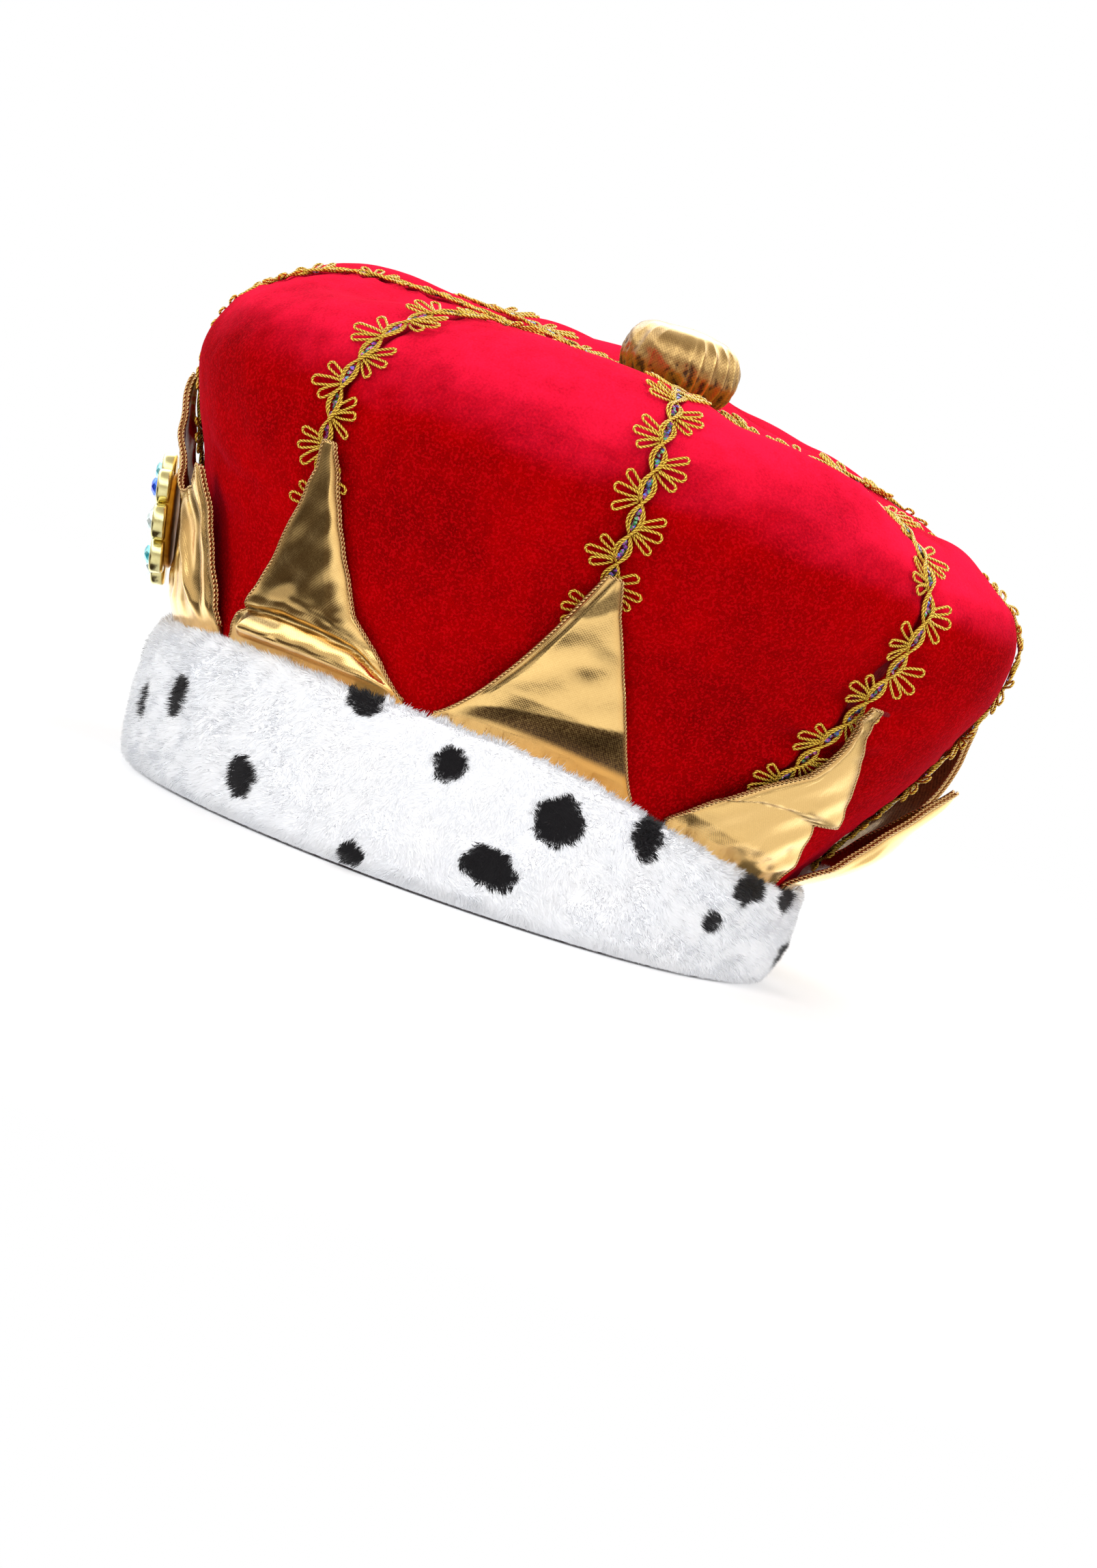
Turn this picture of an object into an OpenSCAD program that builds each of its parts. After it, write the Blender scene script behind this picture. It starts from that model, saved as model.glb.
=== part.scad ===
// Costume crown: a puffed velvet cap with gold points, braid, a fur band, a knob and a stone brooch.
// Millimetres, +Z up, the front faces -Y and the wearer's left is +X. The origin is the middle of
// the head opening, on the plane that the fur band rests on.

/* [Cap] */
// Inside length of the head opening, front to back
opening_l = 200; // [194:1:206]
// Inside width of the head opening
opening_w = 166; // [160:1:172]
// Height of the puff's rim
cap_h = 176; // [168:1:184]
// How far the puff hangs over the band at the front
front_overhang = 24; // [21:0.5:27]
// How far the puff hangs over the band at each side
side_overhang = 32; // [28:0.5:36]
// How far the puff hangs over the band at the back
back_overhang = 50.5; // [47:0.5:54]
// Thickness of the foam-backed velvet
cap_wall = 2.5; // [2:0.1:3]
// How far each gore puffs out between two braids
gore_puff = 4; // [2:0.5:6]

/* [Fur band] */
// Height of the band at the front
fur_front_h = 48.5; // [46:0.5:52]
// Height of the band at each side
fur_side_h = 56; // [54:0.5:58]
// Height of the band at the back
fur_back_h = 34; // [32:0.5:36]
// Depth of the backing and pile
fur_depth = 9; // [7:0.5:10]
// How deep the locks of the pile are
lock_depth = 1.2; // [0.6:0.1:1.6]

/* [Gold points] */
// Thickness of the turned double gold cloth
gold_t = 1.8; // [1.4:0.1:2.2]
// Height of the front panel's middle peak above the fur
middle_peak = 77; // [72:1:80]
// Height of the front panel's side peaks above the fur
side_peak = 51; // [48:1:54]
// Height of the notches between the peaks above the fur
peak_notch = 42; // [38:1:45]

/* [Braid] */
// Width of the braid with its loops
braid_w = 21; // [16:1:23]
// Thickness of the braid
braid_t = 1.5; // [1.2:0.1:1.8]

/* [Knob] */
// Widest diameter of the knob
knob_d = 40.5; // [38:0.5:42]
// Height of the knob
knob_h = 23.5; // [21:0.5:26]

/* [Brooch] */
// Distance from the brooch's centre to a petal's centre
petal_orbit = 15.6; // [15:0.1:16]
// Diameter of a petal
petal_d = 12; // [11.6:0.1:12.4]
// Thickness of the brooch without its stones
brooch_t = 6; // [5.5:0.5:7]
// Height of the brooch's centre above the fur
brooch_rise = 30; // [27:1:33]

/* [Hidden] */

// Clearance between two pieces that are sewn or glued together
gap = 0.3;
// Clearance between the cap and the gold points' feet, and between those and the fur
foot_gap = 0.5;
// The cap's wall lies this far above the plane that the band rests on
hem_lift = 0.6;
// Outer half length and half width of the cap's wall at the head opening
ring_l = opening_l / 2 + cap_wall;
ring_w = opening_w / 2 + cap_wall;
// The knob's centre lies this far behind the middle of the head opening, and leans back
knob_back = 18.5;
knob_lean = 2;
knob_seat_r = 16;
knob_seat_z = 0.958 * cap_h;

// Angles run from the front of the crown towards the wearer's left.
// A seam under a braid, a row for each: its angle at the hem and at the knob
seams = [
    [0, 0], [52.5, 52.5], [98, 99.5], [136, 146.5], [180, 180],
    [224, 213.5], [262, 260.5], [307.5, 307.5], [360, 360]
];
// A gore lies between each two seams, and is cut into this many strips
gore_strips = 8;

// Outer skin of the cap, a row for each section from the hem to the knob's seat. The columns are:
// how far the wall hangs over at the front, side and back, in percent of the overhangs;
// how far the skin has turned in from its widest oval to the knob, in percent;
// the height at the front, side and back, in percent of the cap's height;
// and the share of the puff between the braids.
FRONT_OUT = 0;
SIDE_OUT = 1;
BACK_OUT = 2;
TURN_IN = 3;
FRONT_UP = 4;
SIDE_UP = 5;
BACK_UP = 6;
PUFF = 7;
cap_rows = [
    [0, 0, 0, 0, 0.3, 0.3, 0.3, 0],
    [10, 7, 6, 0, 14, 16, 9.5, 0],
    [18, 12, 11, 0, 27.3, 30.7, 18.5, 0],
    [33, 36, 40, 0, 47.7, 45.5, 33, 0.25],
    [58, 62, 67, 0, 57.4, 57.5, 45.5, 0.5],
    [86, 86, 88, 0, 67.6, 68.5, 58, 0.8],
    [100, 100, 100, 0, 77, 78, 71, 1],
    [100, 100, 100, 3, 86.5, 86.5, 78, 1],
    [100, 100, 100, 9, 92, 92.6, 81.3, 0.95],
    [100, 100, 100, 17, 96.3, 97, 84.3, 0.9],
    [100, 100, 100, 27, 98.8, 99.2, 86.7, 0.8],
    [100, 100, 100, 44, 99.6, 99.7, 89.2, 0.5],
    [100, 100, 100, 64, 98.7, 98.2, 91.2, 0.2],
    [100, 100, 100, 80, 96.6, 96.6, 93.8, 0.1]
];
seat_row = len(cap_rows);

// Dents and folds pressed into the puff, a row for each: the angle and the section of its middle,
// its spread in degrees and in sections, and its depth
dents = [
    [26, 9.8, 15, 1.5, 7],
    [120, 11.2, 15, 2, 4.5],
    [118, 3.4, 12, 0.5, 2],
    [-30, 11, 16, 0.8, 4],
    [-118, 11.2, 14, 2, 6]
];

// Sections at which the cap's outer and inner skins are cut, closer together round the rim
outer_sections = [for (t = [0:0.5:seat_row]) if (t == floor(t) || (t > 1 && t < 11) || t > 13) t];
inner_sections = [0, 2, 3, 4, 5, 6, 7, 8, 9, 10, 12, 14];

// Cross section of the fur band, a row for each corner: the distance from the cap's wall (as a
// share of the depth, or a clearance), the height as a share of the band's, and the share of the locks
band_section = [
    [gap, 0, 0],
    [0.62 * fur_depth, 0, 0],
    [0.93 * fur_depth, 0.07, 0.6],
    [1.04 * fur_depth, 0.25, 1],
    [1.06 * fur_depth, 0.48, 1],
    [1.02 * fur_depth, 0.7, 1],
    [0.88 * fur_depth, 0.88, 0.8],
    [0.62 * fur_depth, 0.985, 0.4],
    [2 * foot_gap + gold_t + 0.5, 1, 0.2],
    [2 * foot_gap + gold_t, 0.93, 0],
    [2 * foot_gap + gold_t, 0.5, 0],
    [gap, 0.36, 0]
];
band_steps = 72;
// The locks lean from one side to the other over this turn of a wave, from the foot to the top
lock_turn = 400;
// The diagonal crease where the band is folded at the wearer's left and back: its angle at the top
// and at the foot of the band, its half width in degrees, and its depth
crease_top = 122;
crease_foot = 152;
crease_spread = 8;
crease_depth = 3.2;

// Each gold point, a row for each: the angle of its foot, half the span of its foot and of its hidden
// strip, the angle of its tip, its rise above the fur, how far it stands off the cap at the
// middle and at the tip, how far each side bows out, in degrees, the share of the rise where it
// bows most, how far its middle bulges, and how much further its first side is flared out
FOOT = 0;
HALF = 1;
STRIP = 2;
TIP = 3;
RISE = 4;
MID_OFF = 5;
TIP_OFF = 6;
NEAR_BOW = 7;
FAR_BOW = 8;
BOW_AT = 9;
BELLY = 10;
FLARE = 11;
point_rows = [
    [55.5, 18.5, 20.6, 52.6, 70, 3.6, 4, -1, -7, 0.37, 0, 0],
    [99.4, 18.2, 21.4, 99.3, 61, 3.6, 4, -3.5, -2.5, 0.37, 0, 0],
    [143, 17.5, 19.1, 141.8, 62, 3.6, 4.2, -6.5, -1, 0.68, 0, 0],
    [180, 13, 13.6, 180, 46, 6.5, 11.5, 0, 0, 0.4, 4.5, 0],
    [215, 19, 20.6, 203, 63, 12, 17.5, 0, 0, 0.5, 0, 9],
    [260.6, 18.2, 21.4, 260.7, 61, 3.6, 4, -2.5, -3.5, 0.37, 0, 0],
    [304.5, 18.5, 20.6, 307.4, 70, 3.6, 4, -7, -1, 0.37, 0, 0]
];
// Half the span of a point's blunt tip in degrees, and the columns and rows that a point is cut into
tip_half = 0.7;
point_cols = 6;
point_sections = [0, 0.1, 0.25, 0.42, 0.6, 0.8, 1];
// How deep the points' foot strip is tucked behind the fur, the rise at which they stand off fully,
// and the slope at which one that stands far off leaves the fur
tuck = 9;
free_rise = 7;
free_slope = 1.4;

// Top edge of the front panel, a row for each corner: its angle and its rise above the fur
panel_edge = [
    [-33.4, 2], [-28, 20], [-21.5, 46], [-19.5, side_peak], [-17.5, side_peak - 2], [-14, peak_notch],
    [-10, peak_notch + 6], [-5, middle_peak - 16], [-1.2, middle_peak], [1.2, middle_peak],
    [5, middle_peak - 16], [10, peak_notch + 6], [14, peak_notch], [17.5, side_peak - 2],
    [19.5, side_peak], [21.5, 46], [28, 20], [33.4, 2]
];
// How far the front panel stands off the cap at its tip, and how much more at its middle
panel_tip_off = 2.7;
panel_belly = 4.2;

// Sections of the cap that a braid follows, and how far it clears the velvet
braid_last = seat_row - 0.4;
braid_off = 0.8;
// The braid starts this far above the fur, behind its point
braid_foot = 8;

// Radius of the knob's soft lower edge and of its upper edge, and how far its top rises at the middle
knob_foot_r = 10;
knob_top_r = 7;
knob_rise = 1.2;

// The brooch leans with the panel. Its back clears the panel's hollow face at the middle
brooch_lean = 13;
brooch_gap = 1.1;
// The petals' cups start this far in front of the brooch's back, and the web between them lies this
// far below their rims
skirt = 1.5;
web_drop = 1.5;
// Diameter of the middle cup, of the stones, and the depth of the pockets that hold them
centre_d = 15;
centre_stone_d = 10.5;
petal_stone_d = 8;
stone_depth = 2.6;
// Clearance round a stone, the height of its girdle, and how far a big and a small one rise above it
stone_gap = 0.1;
girdle = 1.2;
centre_crown = 2.6;
petal_crown = 2;

function unit(v) = v / norm(v);
function mix(a, b, w) = a + (b - a) * w;
function clamp(x, low, high) = max(low, min(high, x));
// Value at angle a between the ones at the front, the sides and the back
function around(a, front, side, back) = mix(cos(a) > 0 ? front : back, side, pow(sin(a), 2));
// The smooth curve through four neighbours, at w between the middle two
function curve(p, q, r, s, w) =
    0.5 * (2 * q + (r - p) * w + (2 * p - 5 * q + 4 * r - s) * w * w
    + (3 * q - p - 3 * r + s) * w * w * w);

// The same at angle a and table row k
function skin_row(a, k) =
    k >= seat_row ? seat_point(a) :
    let (
        row = cap_rows[max(k, 0)],
        side = (ring_w + side_overhang * row[SIDE_OUT] / 100) * sin(a),
        front = ring_l + front_overhang * row[FRONT_OUT] / 100,
        back = ring_l + back_overhang * row[BACK_OUT] / 100,
        wall = [side, -(cos(a) > 0 ? front : back) * cos(a)],
        turned = mix(wall, [0, knob_back], row[TURN_IN] / 100),
        up = around(a, row[FRONT_UP], row[SIDE_UP], row[BACK_UP]) * cap_h / 100
    ) [turned.x, turned.y, up];

// The flat seat under the knob
function seat_point(a) =
    let (
        reach = cos(a) > 0 ? ring_l + front_overhang : ring_l + back_overhang,
        way = unit([(ring_w + side_overhang) * sin(a), -reach * cos(a) - knob_back]),
        y = knob_seat_r * way.y
    ) [knob_seat_r * way.x, knob_back + y, knob_seat_z - y * tan(knob_lean)];

// The cap's skin without its puff, at angle a and section t
function raw_skin(a, t) =
    let (k = min(floor(t), seat_row - 1), far = min(k + 2, seat_row))
    curve(skin_row(a, k - 1), skin_row(a, k), skin_row(a, k + 1), skin_row(a, far), t - k);

// Which way the skin faces there
function skin_normal(a, t) =
    unit(cross(
        raw_skin(a + 1, t) - raw_skin(a - 1, t),
        raw_skin(a, min(t + 0.1, seat_row)) - raw_skin(a, max(t - 0.1, 0))
    ));

// The angle of seam i at section t
function seam(i, t) = mix(seams[i][0], seams[i][1], t / seat_row);

// How far along angle a is between its two seams at section t, from 0 to 1
function gore_share(a, t) =
    let (
        turned = (a % 360 + 360) % 360,
        i = max([for (i = [0:7]) if (turned >= seam(i, t)) i])
    ) (turned - seam(i, t)) / (seam(i + 1, t) - seam(i, t));

// The share of the puff at section t, which runs out at the knob's seat
function puff_share(t) =
    let (k = clamp(floor(t), 0, seat_row - 1), next = k + 1 < seat_row ? cap_rows[k + 1][PUFF] : 0)
    mix(cap_rows[k][PUFF], next, t - k);

// The turn from angle b to angle a, from -180 to 180
function turn_between(a, b) = let (d = ((a - b) % 360 + 540) % 360) d - 180;

function dent(a, t, d) =
    d[4] * exp(-pow(turn_between(a, d[0]) / d[2], 2) - pow((t - d[1]) / d[3], 2));

function dents_at(a, t, i = 0) = i >= len(dents) ? 0 : dent(a, t, dents[i]) + dents_at(a, t, i + 1);

// The cap's skin with its puff and dents, moved out by off
function cap_skin(a, t, off = 0) =
    let (out = gore_puff * puff_share(t) * sin(180 * gore_share(a, t)) - dents_at(a, t))
    raw_skin(a, t) + (out + off) * skin_normal(a, t);

// The section t at which the wall reaches height z at angle a
function section_at(a, z, low = 0, high = 7, n = 14) =
    let (t = (low + high) / 2)
    n == 0 ? t
    : raw_skin(a, t).z < z ? section_at(a, z, t, high, n - 1)
    : section_at(a, z, low, t, n - 1);

// The place at height z on the skin that stands off the wall by off, at angle a
function off_wall(a, z, off) =
    let (t = section_at(a, z), out = skin_normal(a, t), flat = out.x * out.x + out.y * out.y)
    raw_skin(a, t) + off / flat * [out.x, out.y, 0];

// Height of the fur band's top edge
function fur_top(a) =
    cos(a) > 0 ? mix(fur_side_h, fur_front_h, pow(cos(a), 6))
    : mix(fur_back_h, fur_side_h, pow(abs(sin(a)), 2.7));

// Two triangles for the four corners of a patch
function patch(a, b, c, d) = [[a, b, c], [a, c, d]];

// A closed sheet between two grids of points, a front and a back one with the same rows
module sheet(front, back) {
    rows = len(front);
    cols = len(front[0]);
    n = rows * cols;
    function at(i, j) = i * cols + j;
    polyhedron(
        points = [for (grid = [front, back]) each [for (row = grid) each row]],
        faces = [
            for (i = [0:rows - 2], j = [0:cols - 2])
                each patch(at(i, j), at(i + 1, j), at(i + 1, j + 1), at(i, j + 1)),
            for (i = [0:rows - 2], j = [0:cols - 2])
                each patch(n + at(i, j), n + at(i, j + 1), n + at(i + 1, j + 1), n + at(i + 1, j)),
            for (j = [0:cols - 2]) each patch(at(0, j), at(0, j + 1), n + at(0, j + 1), n + at(0, j)),
            for (j = [0:cols - 2], i = rows - 1)
                each patch(at(i, j), n + at(i, j), n + at(i, j + 1), at(i, j + 1)),
            for (i = [0:rows - 2]) each patch(at(i, 0), n + at(i, 0), n + at(i + 1, 0), at(i + 1, 0)),
            for (i = [0:rows - 2], j = cols - 1)
                each patch(at(i, j), at(i + 1, j), n + at(i + 1, j), n + at(i, j))
        ]
    );
}

// Rings of points joined one after the other, closed at both ends or run round into a loop
module rings(loops, looped = false) {
    n = len(loops[0]);
    count = len(loops);
    function at(i, j) = (i % count) * n + (j % n);
    function middle(loop) = [for (k = [0:2]) [for (p = loop) p[k]] * [for (p = loop) 1 / n]];
    polyhedron(
        points = [for (loop = loops) each loop, middle(loops[0]), middle(loops[count - 1])],
        faces = [
            for (i = [0:looped ? count - 1 : count - 2], j = [0:n - 1])
                each patch(at(i, j), at(i, j + 1), at(i + 1, j + 1), at(i + 1, j)),
            if (!looped) for (j = [0:n - 1]) each [
                [at(0, j + 1), at(0, j), count * n],
                [at(count - 1, j), at(count - 1, j + 1), count * n + 1]
            ]
        ]
    );
}

// The cap is one hollow wall, from the knob's seat down to the hem and up again inside
module velvet_cap() {
    last = len(outer_sections) - 1;
    color("crimson")
    rings([
        for (k = [last:-1:0]) let (t = outer_sections[k]) [for (a = cap_angles(t)) cap_skin(a, t)],
        for (t = inner_sections) [for (a = cap_angles(t)) inner_skin(a, t)]
    ]);
}

// The angles at which section t of the cap is cut, gore by gore
function cap_angles(t) =
    [for (g = [0:7], i = [0:gore_strips - 1]) mix(seam(g, t), seam(g + 1, t), i / gore_strips)];

// The cap's inside skin, level with the hem at its foot
function inner_skin(a, t) =
    let (p = cap_skin(a, t, -cap_wall)) t == 0 ? [p.x, p.y, hem_lift] : p;

module fur_band() {
    color("whitesmoke")
    rings([for (i = [0:band_steps - 1]) band_loop(360 * i / band_steps, i)], looped = true);
}

// The fur band's cross section at angle a, with the locks of its pile and its diagonal crease
function band_loop(a, i) = [for (corner = band_section)
    let (
        z = corner[1] * fur_top(a),
        side = i % 2 == 0 ? 1 : -1,
        lock = lock_depth * corner[2] * side * sin(lock_turn * corner[1]) / 2,
        fold = crease_depth * corner[2]
            * exp(-pow((a - mix(crease_foot, crease_top, corner[1])) / crease_spread, 2)),
        p = off_wall(a, max(z, hem_lift), corner[0] + lock - fold)
    ) [p.x, p.y, z]
];

// A gold point from its row of the table
module gold_point(row) {
    color("goldenrod")
    sheet(
        [point_line(row, -1, gold_t), for (v = point_sections) point_line(row, v, gold_t)],
        [point_line(row, -1, 0), for (v = point_sections) point_line(row, v, 0)]
    );
}

// One line across a point at share v of its rise, or its hidden strip where v is -1
function point_line(row, v, thick) =
    let (
        up = max(v, 0),
        tip_z = fur_top(row[TIP]) + row[RISE],
        half = v < 0 ? row[STRIP] : mix(row[HALF], tip_half, up),
        bend = sin(180 * pow(up, ln(0.5) / ln(row[BOW_AT]))),
        low = half + row[NEAR_BOW] * bend,
        high = half + row[FAR_BOW] * bend,
        full = mix(row[MID_OFF], row[TIP_OFF], up * up),
        off = mix(foot_gap, full, min(1, up * row[RISE] / max(free_rise, free_slope * row[MID_OFF]))),
        middle = mix(row[FOOT], row[TIP], up)
    ) [for (j = [0:point_cols])
        let (
            across = j / point_cols,
            a = middle + mix(-low, high, across),
            z = mix(fur_top(a) - (v < 0 ? tuck : 0), tip_z, up),
            belly = row[BELLY] * sin(180 * across) + row[FLARE] * pow(1 - across, 1.5)
        ) off_wall(a, z, off + belly * bend + thick)
    ];

module front_point() {
    color("goldenrod")
    sheet(
        [panel_line(-1, gold_t), for (v = point_sections) panel_line(v, gold_t)],
        [panel_line(-1, 0), for (v = point_sections) panel_line(v, 0)]
    );
}

// One line across the front panel at share v of its rise, or its hidden strip where v is -1
function panel_line(v, thick) =
    [for (corner = panel_edge)
        let (rise = corner[1] * max(v, 0), z = fur_top(corner[0]) + (v < 0 ? -tuck : rise))
        off_wall(corner[0], z, panel_off(rise) + thick)
    ];

// How far the front panel stands off the cap where it has risen this far above the fur
function panel_off(rise) =
    let (share = rise / middle_peak)
    foot_gap + min(1, rise / free_rise) * (panel_tip_off - foot_gap)
    + panel_belly * pow(sin(180 * clamp(share, 0, 1)), 0.8);

// The braid along one of the seams
module braid(i) {
    first = section_at(seams[i][0], fur_top(seams[i][0]) + braid_foot);
    between = [for (t = outer_sections) if (t > first + 0.2 && t < braid_last - 0.2) t];
    sections = [first, each between, braid_last];
    color("darkgoldenrod")
    sheet(
        [for (t = sections) braid_line(i, t, braid_off + braid_t)],
        [for (t = sections) braid_line(i, t, braid_off)]
    );
}

// One line across a braid at section t, no wider than its share of the way to its neighbours
function braid_line(i, t, off) =
    let (
        a = seam(i, t),
        before = i == 0 ? seam(7, t) - 360 : seam(i - 1, t),
        spare = 0.45 * min(a - before, seam(i + 1, t) - a),
        mm_per_degree = norm(raw_skin(a + 0.5, t) - raw_skin(a - 0.5, t)),
        half = min(braid_w / 2 / mm_per_degree, spare)
    ) [for (s = [-1, 0, 1]) cap_skin(a + s * half, t, off)];

// Everything on the knob's seat, drawn round its leaning axis
module on_seat() {
    translate([0, knob_back, knob_seat_z]) rotate([-knob_lean, 0, 0]) children();
}

// A stuffed drum with soft edges
module knob() {
    foot_x = knob_d / 2 - knob_foot_r;
    top_x = knob_d / 2 - knob_top_r;
    top_z = knob_h - knob_rise - knob_top_r;
    outline = [
        [0, 0],
        for (a = [-90:18:0]) [foot_x + knob_foot_r * cos(a), knob_foot_r + knob_foot_r * sin(a)],
        for (a = [0:18:90]) [top_x + knob_top_r * cos(a), top_z + knob_top_r * sin(a)],
        [0, knob_h]
    ];
    color("goldenrod") on_seat() translate([0, 0, gap]) rotate_extrude($fn = 64) polygon(outline);
}

// The panel's outer face at this rise above the fur
function panel_face(rise) = off_wall(0, fur_front_h + rise, panel_off(rise) + gold_t);
brooch_seat = panel_face(brooch_rise) - [0, brooch_gap, 0];

// Everything on the brooch's seat, drawn flat with its back at the origin and its top towards +Y
module on_brooch() {
    translate(brooch_seat) rotate([90 + brooch_lean, 0, 0]) children();
}

module brooch_setting() {
    color("gold")
    on_brooch()
    difference() {
        union() {
            cylinder(d = 2 * petal_orbit, h = brooch_t - web_drop, $fn = 48);
            cylinder(d = centre_d, h = brooch_t, $fn = 48);
            for (i = [0:7]) at_petal(i) translate([0, 0, skirt])
                cylinder(d = petal_d, h = brooch_t - skirt, $fn = 40);
        }
        translate([0, 0, brooch_t - stone_depth]) cylinder(d = centre_stone_d, h = brooch_t, $fn = 48);
        for (i = [0:7]) at_petal(i) translate([0, 0, brooch_t - stone_depth])
            cylinder(d = petal_stone_d, h = brooch_t, $fn = 40);
    }
}

// The petals start at the lower right, and one lies straight to each side
module at_petal(i) {
    rotate(45 * i - 45) translate([petal_orbit, 0, 0]) children();
}

// A cut stone with a table, a crown of eight facets, and a girdle
module cut_stone(d, rise) {
    r = d / 2 - stone_gap;
    table = 0.5 * r;
    foot = 0.7 * r;
    translate([0, 0, brooch_t - stone_depth + stone_gap]) {
        cylinder(r1 = foot, r2 = r, h = girdle, $fn = 8);
        translate([0, 0, girdle]) cylinder(r = r, h = girdle, $fn = 8);
        translate([0, 0, 2 * girdle]) cylinder(r1 = r, r2 = table, h = rise, $fn = 8);
    }
}

module centre_stone() {
    color("lightcyan") on_brooch() cut_stone(centre_stone_d, centre_crown);
}

module petal_stone(i) {
    shades = ["turquoise", "lightcyan", "royalblue"];
    color(shades[i % 3]) on_brooch() at_petal(i) cut_stone(petal_stone_d, petal_crown);
}

velvet_cap();
fur_band();
knob();
front_point();
gold_point(point_rows[0]);  // point_left_1
gold_point(point_rows[1]);  // point_left_2
gold_point(point_rows[2]);  // point_left_3
gold_point(point_rows[3]);  // point_back
gold_point(point_rows[4]);  // point_right_3
gold_point(point_rows[5]);  // point_right_2
gold_point(point_rows[6]);  // point_right_1
braid(0);  // braid_front
braid(1);  // braid_left_1
braid(2);  // braid_left_2
braid(3);  // braid_left_3
braid(4);  // braid_back
braid(5);  // braid_right_3
braid(6);  // braid_right_2
braid(7);  // braid_right_1
brooch_setting();
centre_stone();
petal_stone(0);  // petal_stone_1
petal_stone(1);  // petal_stone_2
petal_stone(2);  // petal_stone_3
petal_stone(3);  // petal_stone_4
petal_stone(4);  // petal_stone_5
petal_stone(5);  // petal_stone_6
petal_stone(6);  // petal_stone_7
petal_stone(7);  // petal_stone_8
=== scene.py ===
# Costume crown: the cloth, plush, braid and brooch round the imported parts.
# The frame is in metres, +Z up, the front faces -Y and the crown's left is +X.
# Forms are worked out in millimetres and degrees, and newPiece() turns them into metres.
import math

import bpy
import numpy as np
from mathutils import Matrix, Vector


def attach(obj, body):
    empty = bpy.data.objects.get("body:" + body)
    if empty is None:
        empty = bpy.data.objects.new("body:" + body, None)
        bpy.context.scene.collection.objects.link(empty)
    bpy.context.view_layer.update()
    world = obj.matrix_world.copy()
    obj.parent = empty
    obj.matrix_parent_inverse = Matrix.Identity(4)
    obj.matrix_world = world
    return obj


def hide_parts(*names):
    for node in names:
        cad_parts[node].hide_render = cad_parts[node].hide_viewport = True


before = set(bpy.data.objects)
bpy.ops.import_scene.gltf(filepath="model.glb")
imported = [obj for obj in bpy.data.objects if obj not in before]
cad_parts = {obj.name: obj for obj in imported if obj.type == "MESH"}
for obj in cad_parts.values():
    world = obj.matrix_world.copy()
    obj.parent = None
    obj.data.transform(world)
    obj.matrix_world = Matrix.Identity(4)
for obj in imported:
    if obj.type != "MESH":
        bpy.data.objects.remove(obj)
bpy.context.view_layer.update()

millimetre = 0.001
# A degree round the band and the points, in millimetres
mmPerDegree = 1.95
print("frame loaded:", len(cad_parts), "parts")


# Small helpers for whole arrays of angles and points
def sinDeg(angle):
    return np.sin(np.radians(angle))


def cosDeg(angle):
    return np.cos(np.radians(angle))


def lerp(first, second, share):
    return first + (second - first) * share


def smooth(low, high, value):
    share = np.clip((value - low) / (high - low), 0, 1)
    return share * share * (3 - 2 * share)


def unit(vectors):
    return vectors / np.maximum(np.linalg.norm(vectors, axis=-1, keepdims=True), 1e-9)


def bump(value, middle, spread):
    return np.exp(-((value - middle) / spread) ** 2)


def turnBetween(angle, other):
    return (angle - other + 540) % 360 - 180


def lengthAlong(path):
    steps = np.linalg.norm(np.diff(path, axis=0), axis=-1)
    return np.concatenate([[0], np.cumsum(steps)])


def evenly(path, step):
    # The same path with a point about every step
    lengths = lengthAlong(path)
    count = max(int(round(lengths[-1] / step)), 3)
    places = np.linspace(0, lengths[-1], count + 1)
    return np.stack([np.interp(places, lengths, path[:, k]) for k in range(path.shape[1])], axis=-1)


def softened(values, reach):
    # A running mean with a rounded window, reach steps to each side
    kernel = np.hanning(2 * reach + 1)
    return np.convolve(np.pad(values, reach, mode="edge"), kernel / kernel.sum(), mode="valid")


def ripple(points, scale, seed, waves=6):
    # Soft waves from about -1 to 1 through space, some scale millimetres long
    random = np.random.default_rng(seed)
    total = np.zeros(points.shape[:-1])
    for _ in range(waves):
        way = unit(random.normal(size=points.shape[-1])) * 2 * math.pi / (scale * random.uniform(0.6, 1.6))
        total = total + np.sin(points @ way + random.uniform(0, 6.28))
    return total / math.sqrt(waves)


# Building one mesh out of several grids and fans
def newShape():
    return {"points": [], "faces": [], "uvs": [], "tints": [], "finishes": [], "smooths": [], "count": 0}


def addFaces(shape, points, faces, uvs, finish=0, tint=(0, 0, 0), smoothed=True):
    points = points.reshape(-1, 3)
    start = shape["count"]
    shape["points"].append(points)
    shape["tints"].append(np.broadcast_to(np.asarray(tint, float), (len(points), 3)))
    shape["faces"].append(faces + start)
    shape["uvs"].append(uvs)
    shape["finishes"].append(np.broadcast_to(np.asarray(finish), (len(faces),)))
    shape["smooths"].append(np.full(len(faces), smoothed))
    shape["count"] += len(points)
    return start


def addGrid(shape, points, closeRows=False, closeCols=False, flip=False, uv=None, finish=0, tint=(0, 0, 0)):
    rows, cols = points.shape[:2]
    rowRange = np.arange(rows if closeRows else rows - 1)
    colRange = np.arange(cols if closeCols else cols - 1)
    i, j = np.meshgrid(rowRange, colRange, indexing="ij")
    corners = [(i, j), (i, j + 1), (i + 1, j + 1), (i + 1, j)]
    if flip:
        corners.reverse()
    quads = np.stack([(r % rows) * cols + c % cols for r, c in corners], axis=-1).reshape(-1, 4)
    if uv is None:
        uv = (np.arange(rows + 1), np.arange(cols + 1))
    if isinstance(uv, tuple):
        places = [np.stack([uv[0][r], uv[1][c]], axis=-1) for r, c in corners]
    else:
        places = [uv[r % rows, c % cols] for r, c in corners]
    if np.ndim(tint) > 1:
        tint = tint.reshape(-1, 3)
    return addFaces(shape, points, quads, np.stack(places, axis=-2).reshape(-1, 2), finish, tint)


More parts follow.
